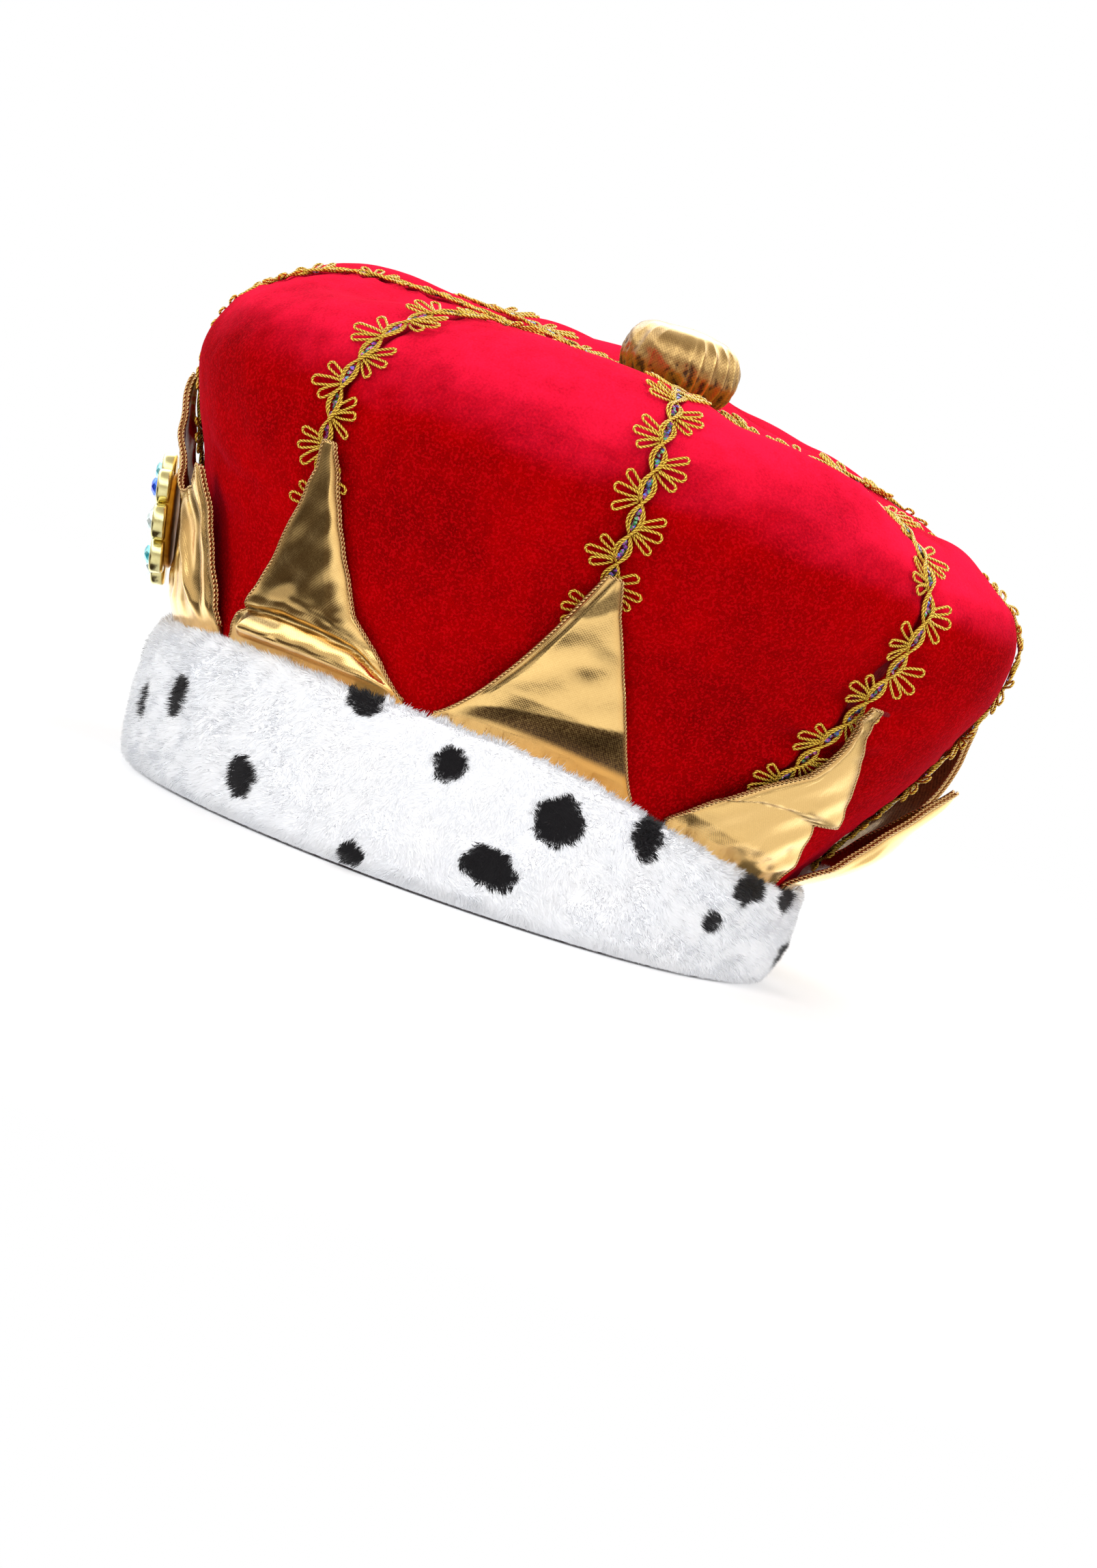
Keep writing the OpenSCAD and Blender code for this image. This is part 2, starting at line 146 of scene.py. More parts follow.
def joinPoints(shape, faces, finish=0):
    # Faces between points that are already in the shape, given by their numbers
    shape["faces"].append(faces)
    shape["uvs"].append(np.zeros((faces.size, 2)))
    shape["finishes"].append(np.full(len(faces), finish))
    shape["smooths"].append(np.full(len(faces), True))


def addFan(shape, ring, centre, flip=False, finish=0, tint=(0, 0, 0)):
    # Closes a ring of points that are already in the shape, given by their numbers
    middle = addFaces(shape, centre, np.zeros((0, 3), int), np.zeros((0, 2)), finish, tint)
    after = np.roll(ring, -1)
    corners = [ring, after, np.full(len(ring), middle)]
    if flip:
        corners.reverse()
    joinPoints(shape, np.stack(corners, axis=-1), finish)


def addCord(shape, path, ups, radius, sides=5, finish=0, tint=(0, 0, 0), pitch=1.7):
    # A round cord along a path; ups point away from the cloth that it lies on
    tangents = unit(np.gradient(path, axis=0))
    across = unit(np.cross(tangents, ups))
    over = np.cross(across, tangents)
    turns = (2 * math.pi * np.arange(sides) / sides)[None, :, None]
    radii = np.broadcast_to(np.asarray(radius, float), (len(path),))[:, None, None]
    ring = path[:, None] + radii * (np.cos(turns) * across[:, None] + np.sin(turns) * over[:, None])
    uv = (lengthAlong(path) / pitch, np.arange(sides + 1) / sides)
    start = addGrid(shape, ring, closeCols=True, flip=True, uv=uv, finish=finish, tint=tint)
    addFan(shape, start + np.arange(sides), path[0], finish=finish, tint=tint)
    addFan(shape, start + (len(path) - 1) * sides + np.arange(sides), path[-1], True, finish, tint)


def sideName(kind, side):
    # "point" and "left_1" give "pointLeft1"
    return kind + side.title().replace("_", "")


def newPiece(name, shape, materials, nodes=(), normals=None):
    mesh = bpy.data.meshes.new(name)
    points = np.concatenate(shape["points"]) * millimetre
    sizes = np.concatenate([np.full(len(faces), faces.shape[1]) for faces in shape["faces"]])
    loops = np.concatenate([faces.ravel() for faces in shape["faces"]])
    starts = np.concatenate([[0], np.cumsum(sizes)[:-1]])
    mesh.vertices.add(len(points))
    mesh.vertices.foreach_set("co", points.astype(np.float32).ravel())
    mesh.loops.add(len(loops))
    mesh.loops.foreach_set("vertex_index", loops.astype(np.int32))
    mesh.polygons.add(len(sizes))
    mesh.polygons.foreach_set("loop_start", starts.astype(np.int32))
    mesh.polygons.foreach_set("material_index", np.concatenate(shape["finishes"]).astype(np.int32))
    mesh.polygons.foreach_set("use_smooth", np.concatenate(shape["smooths"]))
    mesh.update(calc_edges=True)
    layer = mesh.uv_layers.new(name="UVMap")
    layer.data.foreach_set("uv", np.concatenate(shape["uvs"]).astype(np.float32).ravel())
    tints = mesh.color_attributes.new(name="tint", type="FLOAT_COLOR", domain="POINT")
    colours = np.concatenate(shape["tints"])
    colours = np.concatenate([colours, np.ones((len(colours), 1))], axis=1)
    tints.data.foreach_set("color", colours.astype(np.float32).ravel())
    for material in materials:
        mesh.materials.append(material)
    if normals is not None:
        mesh.normals_split_custom_set_from_vertices(normals.astype(np.float32))
    piece = bpy.data.objects.new(name, mesh)
    bpy.context.scene.collection.objects.link(piece)
    if nodes:
        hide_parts(*nodes)
    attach(piece, "root")
    print("made", name, "with", int((sizes - 2).sum()), "triangles")
    return piece


# The cap's form, by the numbers of the part's source
capForm = {
    "ringLength": 102.5,
    "ringWidth": 85.5,
    "height": 176.0,
    "frontOver": 24.0,
    "sideOver": 32.0,
    "backOver": 50.5,
    "wall": 2.5,
    "hemLift": 0.6,
    "puff": 4.0,
    "knobBack": 18.5,
    "knobLean": 2.0,
    "seatRadius": 16.0,
    "seatHeight": 168.608,
}
lastSection = 14
seamAngles = np.array([
    [0, 0], [52.5, 52.5], [98, 99.5], [136, 146.5], [180, 180],
    [224, 213.5], [262, 260.5], [307.5, 307.5], [360, 360],
], float)
# Overhang at the front, side and back, turn in, height at the front, side and back, and puff
capRows = np.array([
    [0, 0, 0, 0, 0.3, 0.3, 0.3, 0],
    [10, 7, 6, 0, 14, 16, 9.5, 0],
    [18, 12, 11, 0, 27.3, 30.7, 18.5, 0],
    [33, 36, 40, 0, 47.7, 45.5, 33, 0.25],
    [58, 62, 67, 0, 57.4, 57.5, 45.5, 0.5],
    [86, 86, 88, 0, 67.6, 68.5, 58, 0.8],
    [100, 100, 100, 0, 77, 78, 71, 1],
    [100, 100, 100, 3, 86.5, 86.5, 78, 1],
    [100, 100, 100, 9, 92, 92.6, 81.3, 0.95],
    [100, 100, 100, 17, 96.3, 97, 84.3, 0.9],
    [100, 100, 100, 27, 98.8, 99.2, 86.7, 0.8],
    [100, 100, 100, 44, 99.6, 99.7, 89.2, 0.5],
    [100, 100, 100, 64, 98.7, 98.2, 91.2, 0.2],
    [100, 100, 100, 80, 96.6, 96.6, 93.8, 0.1],
], float)
# Dents: angle, section, spread in degrees and in sections, depth
capDents = [
    [26, 9.8, 15, 1.5, 7],
    [120, 11.2, 15, 2, 4.5],
    [118, 3.4, 12, 0.5, 2],
    [-30, 11, 16, 0.8, 4],
    [-118, 11.2, 14, 2, 6],
]


def around(angle, front, side, back):
    return lerp(np.where(cosDeg(angle) > 0, front, back), side, sinDeg(angle) ** 2)


def seatPoint(angle):
    form = capForm
    reach = form["ringLength"] + np.where(cosDeg(angle) > 0, form["frontOver"], form["backOver"])
    x = (form["ringWidth"] + form["sideOver"]) * sinDeg(angle)
    way = unit(np.stack([x, -reach * cosDeg(angle) - form["knobBack"]], axis=-1)) * form["seatRadius"]
    height = form["seatHeight"] - way[..., 1] * math.tan(math.radians(form["knobLean"]))
    return np.stack([way[..., 0], form["knobBack"] + way[..., 1], height], axis=-1)


def skinRow(angle, row):
    form = capForm
    cells = capRows[np.clip(row, 0, lastSection - 1)]
    over = np.where(cosDeg(angle) > 0, form["frontOver"] * cells[..., 0], form["backOver"] * cells[..., 2])
    side = (form["ringWidth"] + form["sideOver"] * cells[..., 1] / 100) * sinDeg(angle)
    wall = -(form["ringLength"] + over / 100) * cosDeg(angle)
    turn = cells[..., 3] / 100
    rise = around(angle, cells[..., 4], cells[..., 5], cells[..., 6]) * form["height"] / 100
    turned = np.stack([side * (1 - turn), lerp(wall, form["knobBack"], turn), rise], axis=-1)
    return np.where((row >= lastSection)[..., None], seatPoint(angle), turned)


def rawSkin(angle, section):
    angle, section = np.broadcast_arrays(np.asarray(angle, float), np.asarray(section, float))
    row = np.minimum(np.floor(section), lastSection - 1).astype(int)
    w = (section - row)[..., None]
    p = skinRow(angle, row - 1)
    q = skinRow(angle, row)
    r = skinRow(angle, row + 1)
    s = skinRow(angle, np.minimum(row + 2, lastSection))
    square = (2 * p - 5 * q + 4 * r - s) * w ** 2
    cube = (3 * q - p - 3 * r + s) * w ** 3
    return 0.5 * (2 * q + (r - p) * w + square + cube)


def skinNormal(angle, section):
    angle, section = np.broadcast_arrays(np.asarray(angle, float), np.asarray(section, float))
    across = rawSkin(angle + 1, section) - rawSkin(angle - 1, section)
    above = rawSkin(angle, np.minimum(section + 0.1, lastSection))
    up = above - rawSkin(angle, np.maximum(section - 0.1, 0))
    return unit(np.cross(across, up))


def seamAt(index, section):
    return lerp(seamAngles[index, 0], seamAngles[index, 1], section / lastSection)


def goreShare(angle, section):
    turned = (angle % 360)[..., None]
    seams = lerp(seamAngles[:, 0], seamAngles[:, 1], section[..., None] / lastSection)
    index = np.clip((turned >= seams[..., :8]).sum(axis=-1) - 1, 0, 7)[..., None]
    low = np.take_along_axis(seams, index, axis=-1)
    high = np.take_along_axis(seams, index + 1, axis=-1)
    return ((turned - low) / (high - low))[..., 0]


def puffShare(section):
    return np.interp(section, np.arange(lastSection + 1), np.append(capRows[:, 7], 0))


def capPush(angle, section):
    # How far the puff and the dents move the skin out
    out = capForm["puff"] * puffShare(section) * sinDeg(180 * goreShare(angle, section))
    for middle, row, degrees, rows, depth in capDents:
        out = out - depth * np.exp(
            -(turnBetween(angle, middle) / degrees) ** 2 - ((section - row) / rows) ** 2
        )
    return out


def capSkin(angle, section, off=0.0):
    angle, section = np.broadcast_arrays(np.asarray(angle, float), np.asarray(section, float))
    out = capPush(angle, section) + off
    return rawSkin(angle, section) + out[..., None] * skinNormal(angle, section)


def sectionAt(angle, height):
    angle, height = np.broadcast_arrays(np.asarray(angle, float), np.asarray(height, float))
    low = np.zeros(angle.shape)
    high = np.full(angle.shape, 7.0)
    for _ in range(16):
        middle = (low + high) / 2
        below = rawSkin(angle, middle)[..., 2] < height
        low = np.where(below, middle, low)
        high = np.where(below, high, middle)
    return (low + high) / 2


def offWall(angle, height, off):
    section = sectionAt(angle, height)
    out = skinNormal(angle, section)
    out[..., 2] = 0
    level = (out ** 2).sum(axis=-1)
    return rawSkin(angle, section) + (off / level)[..., None] * out


def degreeLength(angle, section):
    return np.linalg.norm(rawSkin(angle + 0.5, section) - rawSkin(angle - 0.5, section), axis=-1)


# Height of the plush band's top edge
bandTop = {"front": 48.5, "side": 56.0, "back": 34.0}


def furTop(angle):
    front = lerp(bandTop["side"], bandTop["front"], np.maximum(cosDeg(angle), 0) ** 6)
    back = lerp(bandTop["back"], bandTop["side"], np.abs(sinDeg(angle)) ** 2.7)
    return np.where(cosDeg(angle) > 0, front, back)


# Shader helpers
def addNode(tree, kind, inputs=None, **settings):
    made = tree.nodes.new("ShaderNode" + kind)
    for key, value in settings.items():
        setattr(made, key, value)
    for key, value in (inputs or {}).items():
        if isinstance(value, bpy.types.NodeSocket):
            tree.links.new(value, made.inputs[key])
        else:
            made.inputs[key].default_value = value
    return made


def maths(tree, operation, first, second=0.0, third=0.0, clamp=False):
    made = addNode(tree, "Math", {0: first, 1: second, 2: third}, operation=operation, use_clamp=clamp)
    return made.outputs[0]


def mixColour(tree, share, first, second, blend="MIX"):
    made = addNode(tree, "Mix", {0: share, 6: first, 7: second}, data_type="RGBA", blend_type=blend)
    return made.outputs[2]


def newGroup(name, inputs, outputs):
    tree = bpy.data.node_groups.new(name, "ShaderNodeTree")
    for title, kind, value in inputs:
        socket = tree.interface.new_socket(title, in_out="INPUT", socket_type=kind)
        if value is not None:
            socket.default_value = value
    for title, kind in outputs:
        tree.interface.new_socket(title, in_out="OUTPUT", socket_type=kind)
    return tree, tree.nodes.new("NodeGroupInput").outputs, tree.nodes.new("NodeGroupOutput").inputs


def useGroup(tree, group, inputs):
    made = tree.nodes.new("ShaderNodeGroup")
    made.node_tree = group
    for key, value in inputs.items():
        if isinstance(value, bpy.types.NodeSocket):
            tree.links.new(value, made.inputs[key])
        else:
            made.inputs[key].default_value = value
    return made.outputs


def newMaterial(name, values):
    # A material with one plain shader; values go by the names of the shader's own sockets
    material = bpy.data.materials.new(name)
    material.use_nodes = True
    tree = material.node_tree
    shader = tree.nodes["Principled BSDF"]
    for title, value in values.items():
        shader.inputs[title].default_value = value
    return material, tree, shader


def colour(red, green, blue):
    return (red, green, blue, 1.0)


def link(tree, output, shader, title):
    tree.links.new(output, shader.inputs[title])


# Soft patches: a mask that wanders over the surface, its size in millimetres
patchGroup, given, wanted = newGroup(
    "softPatches",
    [("Place", "NodeSocketVector", None), ("Size", "NodeSocketFloat", 20.0),
     ("Detail", "NodeSocketFloat", 3.0), ("Contrast", "NodeSocketFloat", 1.0)],
    [("Mask", "NodeSocketFloat")],
)
frequency = maths(patchGroup, "DIVIDE", 1000.0, given["Size"])
noise = addNode(
    patchGroup, "TexNoise", {"Vector": given["Place"], "Scale": frequency, "Detail": given["Detail"]}
)
centred = maths(patchGroup, "SUBTRACT", noise.outputs["Fac"], 0.5)
spread = maths(patchGroup, "MULTIPLY_ADD", centred, given["Contrast"], 0.5)
patchGroup.links.new(maths(patchGroup, "ADD", spread, 0.0, clamp=True), wanted["Mask"])

# Weave: crossing threads from a place in millimetres
weaveGroup, given, wanted = newGroup(
    "clothWeave",
    [("Place", "NodeSocketVector", None), ("Pitch", "NodeSocketFloat", 0.7),
     ("Unevenness", "NodeSocketFloat", 0.3)],
    [("Height", "NodeSocketFloat"), ("Mask", "NodeSocketFloat")],
)
parts = addNode(weaveGroup, "SeparateXYZ", {0: given["Place"]})
turnsPer = maths(weaveGroup, "DIVIDE", 2 * math.pi, given["Pitch"])
wander = addNode(weaveGroup, "TexNoise", {"Vector": given["Place"], "Scale": 0.35, "Detail": 2.0})
shift = maths(weaveGroup, "MULTIPLY", wander.outputs["Fac"], given["Unevenness"])
threads = []
for k in (0, 1):
    moved = maths(weaveGroup, "ADD", parts.outputs[k], shift)
    threads.append(maths(weaveGroup, "SINE", maths(weaveGroup, "MULTIPLY", moved, turnsPer)))
crossed = maths(weaveGroup, "MULTIPLY", threads[0], threads[1])
height = maths(weaveGroup, "MULTIPLY_ADD", crossed, 0.5, 0.5)
weaveGroup.links.new(height, wanted["Height"])
weaveGroup.links.new(maths(weaveGroup, "POWER", height, 2.0), wanted["Mask"])

# Twist: the slanting plies of a cord, from its place along and round the cord
twistGroup, given, wanted = newGroup(
    "cordTwist",
    [("Place", "NodeSocketVector", None), ("Plies", "NodeSocketFloat", 2.0)],
    [("Height", "NodeSocketFloat")],
)
parts = addNode(twistGroup, "SeparateXYZ", {0: given["Place"]})
along = maths(twistGroup, "MULTIPLY_ADD", parts.outputs[1], given["Plies"], parts.outputs[0])
wave = maths(twistGroup, "SINE", maths(twistGroup, "MULTIPLY", along, 2 * math.pi))
twistGroup.links.new(maths(twistGroup, "MULTIPLY_ADD", wave, 0.5, 0.5), wanted["Height"])


def objectPlace(tree):
    return addNode(tree, "TexCoord").outputs["Object"]


def patchMask(tree, place, size, detail, contrast):
    inputs = {"Place": place, "Size": size, "Detail": detail, "Contrast": contrast}
    return useGroup(tree, patchGroup, inputs)["Mask"]


def weaveOf(tree, place, pitch, unevenness):
    return useGroup(tree, weaveGroup, {"Place": place, "Pitch": pitch, "Unevenness": unevenness})


def tintChannels(tree):
    painted = addNode(tree, "Attribute", attribute_name="tint", attribute_type="GEOMETRY").outputs["Color"]
    return painted, addNode(tree, "SeparateColor", {0: painted}).outputs


def bumped(tree, height, distance, strength=1.0, base=None):
    inputs = {"Height": height, "Distance": distance * millimetre, "Strength": strength}
    if base is not None:
        inputs["Normal"] = base
    return addNode(tree, "Bump", inputs).outputs["Normal"]


def makeVelvet():
    # Tint: red is painted shade along the seams, green is a painted pinkish sheen where the cloth faces up
    look = {
        "deep": colour(0.11, 0.0, 0.0002), "bright": colour(0.385, 0.0, 0.0005),
        "seam": colour(0.05, 0.0, 0.001), "fleck": colour(0.55, 0.002, 0.006),
        "paintedSheen": colour(0.80, 0.009, 0.044),
    }
    material, tree, shader = newMaterial("redVelvet", {
        "Roughness": 0.9, "Specular IOR Level": 0.01, "Sheen Weight": 0.3, "Sheen Roughness": 0.3,
        "Sheen Tint": colour(1.0, 0.03, 0.09),
    })
    place = objectPlace(tree)
    nap = patchMask(tree, place, 46.0, 4.0, 2.6)
    rubbed = patchMask(tree, place, 7.0, 4.0, 2.0)
    fine = patchMask(tree, place, 0.8, 2.0, 2.2)
    fleck = patchMask(tree, place, 0.9, 1.0, 6.0)
    share = maths(tree, "MULTIPLY_ADD", nap, 0.42, maths(tree, "MULTIPLY", fine, 0.30))
    share = maths(tree, "MULTIPLY_ADD", rubbed, 0.28, share, clamp=True)
    base = mixColour(tree, share, look["deep"], look["bright"])
    sparse = maths(tree, "MULTIPLY", maths(tree, "POWER", fleck, 6.0), 0.35)
    base = mixColour(tree, sparse, base, look["fleck"])
    _, channels = tintChannels(tree)
    uneven = maths(tree, "MULTIPLY_ADD", share, 1.3, 0.3)
    # Painted sheen: pinkish where the cloth faces up and on the folds' ridges, uneven with the nap
    paintedSheen = maths(tree, "MULTIPLY", channels[1], uneven, clamp=True)
    base = mixColour(tree, paintedSheen, base, look["paintedSheen"])
    # Painted shade along the seams
    base = mixColour(tree, channels[0], base, look["seam"])
    link(tree, base, shader, "Base Color")
    link(tree, bumped(tree, fine, 0.25, 0.5, bumped(tree, rubbed, 0.7, 0.45)), shader, "Normal")
    return material


def makeLining():
    material, tree, shader = newMaterial("redLining", {"Roughness": 0.9, "Specular IOR Level": 0.1})
    place = objectPlace(tree)
    scaled = addNode(tree, "VectorMath", {0: place, 3: 1000.0}, operation="SCALE").outputs[0]
    weave = weaveOf(tree, scaled, 1.4, 0.5)
    base = mixColour(tree, weave["Mask"], colour(0.14, 0.004, 0.008), colour(0.22, 0.01, 0.014))
    link(tree, base, shader, "Base Color")
    link(tree, bumped(tree, weave["Height"], 0.2), shader, "Normal")
    return material


def makePlush():
    # The pile's colour is painted on its points, white or spot, darker toward the roots as painted shade
    material, tree, shader = newMaterial(
        "whitePlush", {"Roughness": 0.9, "Specular IOR Level": 0.12, "Sheen Weight": 0.12}
    )
    painted, _ = tintChannels(tree)
    soft = patchMask(tree, objectPlace(tree), 12.0, 3.0, 1.5)
    base = mixColour(tree, soft, colour(0.93, 0.945, 0.97), colour(1.0, 1.0, 1.0))
    link(tree, mixColour(tree, 1.0, painted, base, "MULTIPLY"), shader, "Base Color")
    return material


def makeGoldCloth(name, light, dark, amber, roughness, pitch):
    # Tint: red is the brown of the turned edge, green is amber, mostly painted warm reflection and shade, and
    # blue is painted shade and painted dark reflection in the folds
    look = {"edge": colour(0.30, 0.13, 0.04), "amber": amber, "paintedShade": colour(0.05, 0.021, 0.006)}
    material, tree, shader = newMaterial(name, {})
    placed = addNode(tree, "UVMap", uv_map="UVMap").outputs["UV"]
    place = objectPlace(tree)
    weave = weaveOf(tree, placed, pitch, 0.6)
    dull = patchMask(tree, place, 14.0, 4.0, 1.8)
    speck = patchMask(tree, place, 0.8, 2.0, 2.5)
    base = mixColour(tree, maths(tree, "MULTIPLY", weave["Mask"], 0.22), light, dark)
    base = mixColour(tree, maths(tree, "MULTIPLY", speck, 0.12), base, dark)
    _, channels = tintChannels(tree)
    # The painted shade is broken up by the weave and the specks
    shadeBreakup = maths(tree, "MULTIPLY_ADD", weave["Mask"], 0.25, maths(tree, "MULTIPLY_ADD", speck, 0.2, 0.8))
    paintedShade = maths(tree, "MULTIPLY", channels[2], shadeBreakup, clamp=True)
    # Amber and the dark shade tint are painted reflection and shade
    base = mixColour(tree, channels[1], base, look["amber"])
    base = mixColour(tree, paintedShade, base, look["paintedShade"])
    base = mixColour(tree, channels[0], base, look["edge"])
    link(tree, base, shader, "Base Color")
    rough = maths(tree, "MULTIPLY_ADD", dull, 0.1, roughness)
    rough = maths(tree, "MULTIPLY_ADD", channels[2], 0.16, rough)
    link(tree, maths(tree, "MULTIPLY_ADD", speck, 0.08, rough), shader, "Roughness")
    link(tree, maths(tree, "MULTIPLY_ADD", channels[1], -0.55, 1.0), shader, "Metallic")
    link(tree, bumped(tree, weave["Height"], 0.05, 0.35, bumped(tree, dull, 0.5, 0.4)), shader, "Normal")
    return material


def makeCord(name, light, dark, roughness, metallic, specularLevel):
    material, tree, shader = newMaterial(
        name, {"Metallic": metallic, "Roughness": roughness, "Specular IOR Level": specularLevel}
    )
    placed = addNode(tree, "UVMap", uv_map="UVMap").outputs["UV"]
    ply = useGroup(tree, twistGroup, {"Place": placed, "Plies": 2.0})["Height"]
    # The cord is darkest where its plies dip between each other: painted shade in the grooves
    link(tree, mixColour(tree, maths(tree, "POWER", ply, 0.6), dark, light), shader, "Base Color")
    link(tree, bumped(tree, ply, 0.4), shader, "Normal")
    return material


def makeSequin():
    material, tree, shader = newMaterial("sequinFilm", {"Metallic": 0.85, "Roughness": 0.18})
    painted, _ = tintChannels(tree)
    speck = patchMask(tree, objectPlace(tree), 1.5, 3.0, 2.0)
    base = mixColour(tree, maths(tree, "MULTIPLY", speck, 0.22), painted, colour(0.75, 0.6, 0.3))
    link(tree, base, shader, "Base Color")
    return material


def makeMoulding(name, light, dark, roughness):
    material, tree, shader = newMaterial(name, {"Metallic": 1.0})
    worn = patchMask(tree, objectPlace(tree), 3.0, 3.0, 2.0)
    link(tree, mixColour(tree, worn, dark, light), shader, "Base Color")
    link(tree, maths(tree, "MULTIPLY_ADD", worn, 0.12, roughness), shader, "Roughness")
    link(tree, bumped(tree, worn, 0.12, 0.4), shader, "Normal")
    return material


def makeStone(name, deep, bright):
    material, tree, shader = newMaterial(
        name, {"Metallic": 0.55, "Roughness": 0.06, "Coat Weight": 1.0, "Coat Roughness": 0.03}
    )
    foil = patchMask(tree, objectPlace(tree), 2.5, 1.0, 3.0)
    link(tree, mixColour(tree, foil, deep, bright), shader, "Base Color")
    return material


velvet = makeVelvet()
lining = makeLining()
plush = makePlush()
goldCloth = makeGoldCloth(
    "goldCloth", colour(0.98, 0.655, 0.25), colour(0.62, 0.34, 0.10), colour(0.62, 0.29, 0.05), 0.10, 0.9,
)
knobCloth = makeGoldCloth(
    "knobCloth", colour(1.0, 0.67, 0.26), colour(0.34, 0.14, 0.03), colour(0.66, 0.27, 0.02), 0.08, 1.1,
)
rimCord = makeCord("goldRim", colour(0.84, 0.54, 0.22), colour(0.42, 0.22, 0.075), 0.25, 0.9, 0.5)
braidCord = makeCord("goldBraidCord", colour(1.0, 0.69, 0.09), colour(0.24, 0.066, 0.0), 0.2, 0.35, 0.2)
sequinFilm = makeSequin()
settingGold = makeMoulding("settingGold", colour(0.86, 0.78, 0.40), colour(0.66, 0.55, 0.22), 0.14)
amberGold = makeMoulding("amberGold", colour(0.58, 0.31, 0.03), colour(0.30, 0.14, 0.015), 0.35)
stoneLooks = {
    "blue_stone": makeStone("blueStone", colour(0.0, 0.03, 0.55), colour(0.05, 0.25, 0.95)),
    "aqua_stone": makeStone("aquaStone", colour(0.03, 0.42, 0.5), colour(0.45, 0.9, 0.85)),
    "clear_stone": makeStone("clearStone", colour(0.5, 0.62, 0.6), colour(0.95, 1.0, 0.95)),
}
print("materials made:", len(bpy.data.materials))

# Velvet cap: eight gores sewn together, drawn in at the knob and at the hem
velvetCap = {
    "goreColumns": 40,
    "crowding": 0.55,
    "rows": 172,
    "insideRows": 26,
    # Size of a mesh cell, up and round the cap
    "cell": (1.8, 2.2),
    "grooveDepth": 1.3,
    "grooveWidth": 1.7,
    "puckerDepth": 0.5,
    "puckerPitch": 8.5,
    "softWaves": [(70.0, 1.0, 11), (27.0, 0.35, 12)],
    "gathers": 44,
    "gatherDepth": 0.8,
    "seamShade": 0.75,
    "seamShadeWidth": 1.6,
    # A painted pinkish sheen where the cloth faces up between these two, with painted highlights on the
    # ridges of its folds and painted shade in their valleys
    "paintedSheenFrom": 0.10,
    "paintedSheenTo": 0.84,
    "paintedSheenShare": 0.85,
    "paintedSheenOnRidges": 0.2,
    # Folds: angle and section of both ends, half width and depth (below 0 for a ridge)
    "folds": [
        [128, 3.6, 152, 3.9, 3.5, 1.8],
        [126, 4.4, 154, 4.8, 4.0, 1.5],
        [128, 4.0, 152, 4.35, 4.0, -1.4],
        [60, 3.5, 92, 3.5, 4.0, 1.0],
        [208, 4.2, 236, 4.0, 4.0, 1.4],
        [212, 4.8, 232, 5.2, 4.0, 1.2],
        [270, 3.8, 300, 4.2, 4.0, 1.3],
        [20, 4.4, 40, 3.9, 4.0, 1.2],
        [-44, 4.0, -18, 4.3, 4.0, 1.2],
        [58, 10.2, 88, 11.0, 7.0, 1.3],
        [106, 8.6, 140, 9.6, 8.0, -2.0],
        [113, 12.4, 124, 9.4, 5.5, 0.8],
        [120, 12.2, 136, 9.4, 4.5, -1.6],
        [150, 9.0, 176, 10.4, 7.0, 1.4],
        [186, 9.6, 208, 8.8, 7.0, 1.4],
        [226, 10.6, 256, 9.6, 7.0, 1.6],
        [266, 9.4, 300, 10.6, 7.0, 1.5],
        [312, 11.0, 350, 9.8, 7.0, 1.4],
    ],
}


def foldPush(points, ends, halfWidth, depth):
    # A valley between two ends, with a low ridge beside it
    start, end = ends
    way = end - start
    share = np.clip(((points - start) @ way) / (way @ way), 0, 1)
    gap = np.linalg.norm(points - start - share[..., None] * way, axis=-1)
    there = smooth(0, 0.25, share) * smooth(1, 0.75, share)
    return -depth * there * (bump(gap, 0, halfWidth) - 0.45 * bump(gap, 2 * halfWidth, halfWidth))


def velvetRelief(angles, sections, shares, along, fromSeam, sewn):
    # How far the cloth stands off the smooth skin, and its folds' part of that
    settings = velvetCap
    raw = rawSkin(angles, sections)
    out = -settings["grooveDepth"] * bump(fromSeam, 0, settings["grooveWidth"]) * sewn
    gores = np.repeat(np.arange(8), shares.shape[1] // 8)[None, :]
    phase = gores * 1.7 + (shares > 0.5) * 2.1
    pucker = np.sin(2 * math.pi * along / settings["puckerPitch"] + phase + 2 * ripple(raw, 30, 3))
    out = out + settings["puckerDepth"] * pucker * bump(fromSeam, 4.5, 4.0) * sewn
    for size, depth, seed in settings["softWaves"]:
        out = out + depth * ripple(raw, size, seed) * smooth(3.2, 5, sections)
    gather = np.sin(np.radians(angles * settings["gathers"]) + 3 * ripple(raw, 50, 5))
    gathered = smooth(11.6, 13.6, sections) + 0.5 * smooth(3.2, 1.5, sections)
    out = out + settings["gatherDepth"] * gather * gathered
    folded = np.zeros(out.shape)
    for firstAngle, firstRow, lastAngle, lastRow, halfWidth, depth in settings["folds"]:
        ends = rawSkin(np.array([firstAngle, lastAngle], float), np.array([firstRow, lastRow], float))
        push = foldPush(raw, ends, halfWidth, depth)
        out = out + push
        folded = folded + push
    return out, folded


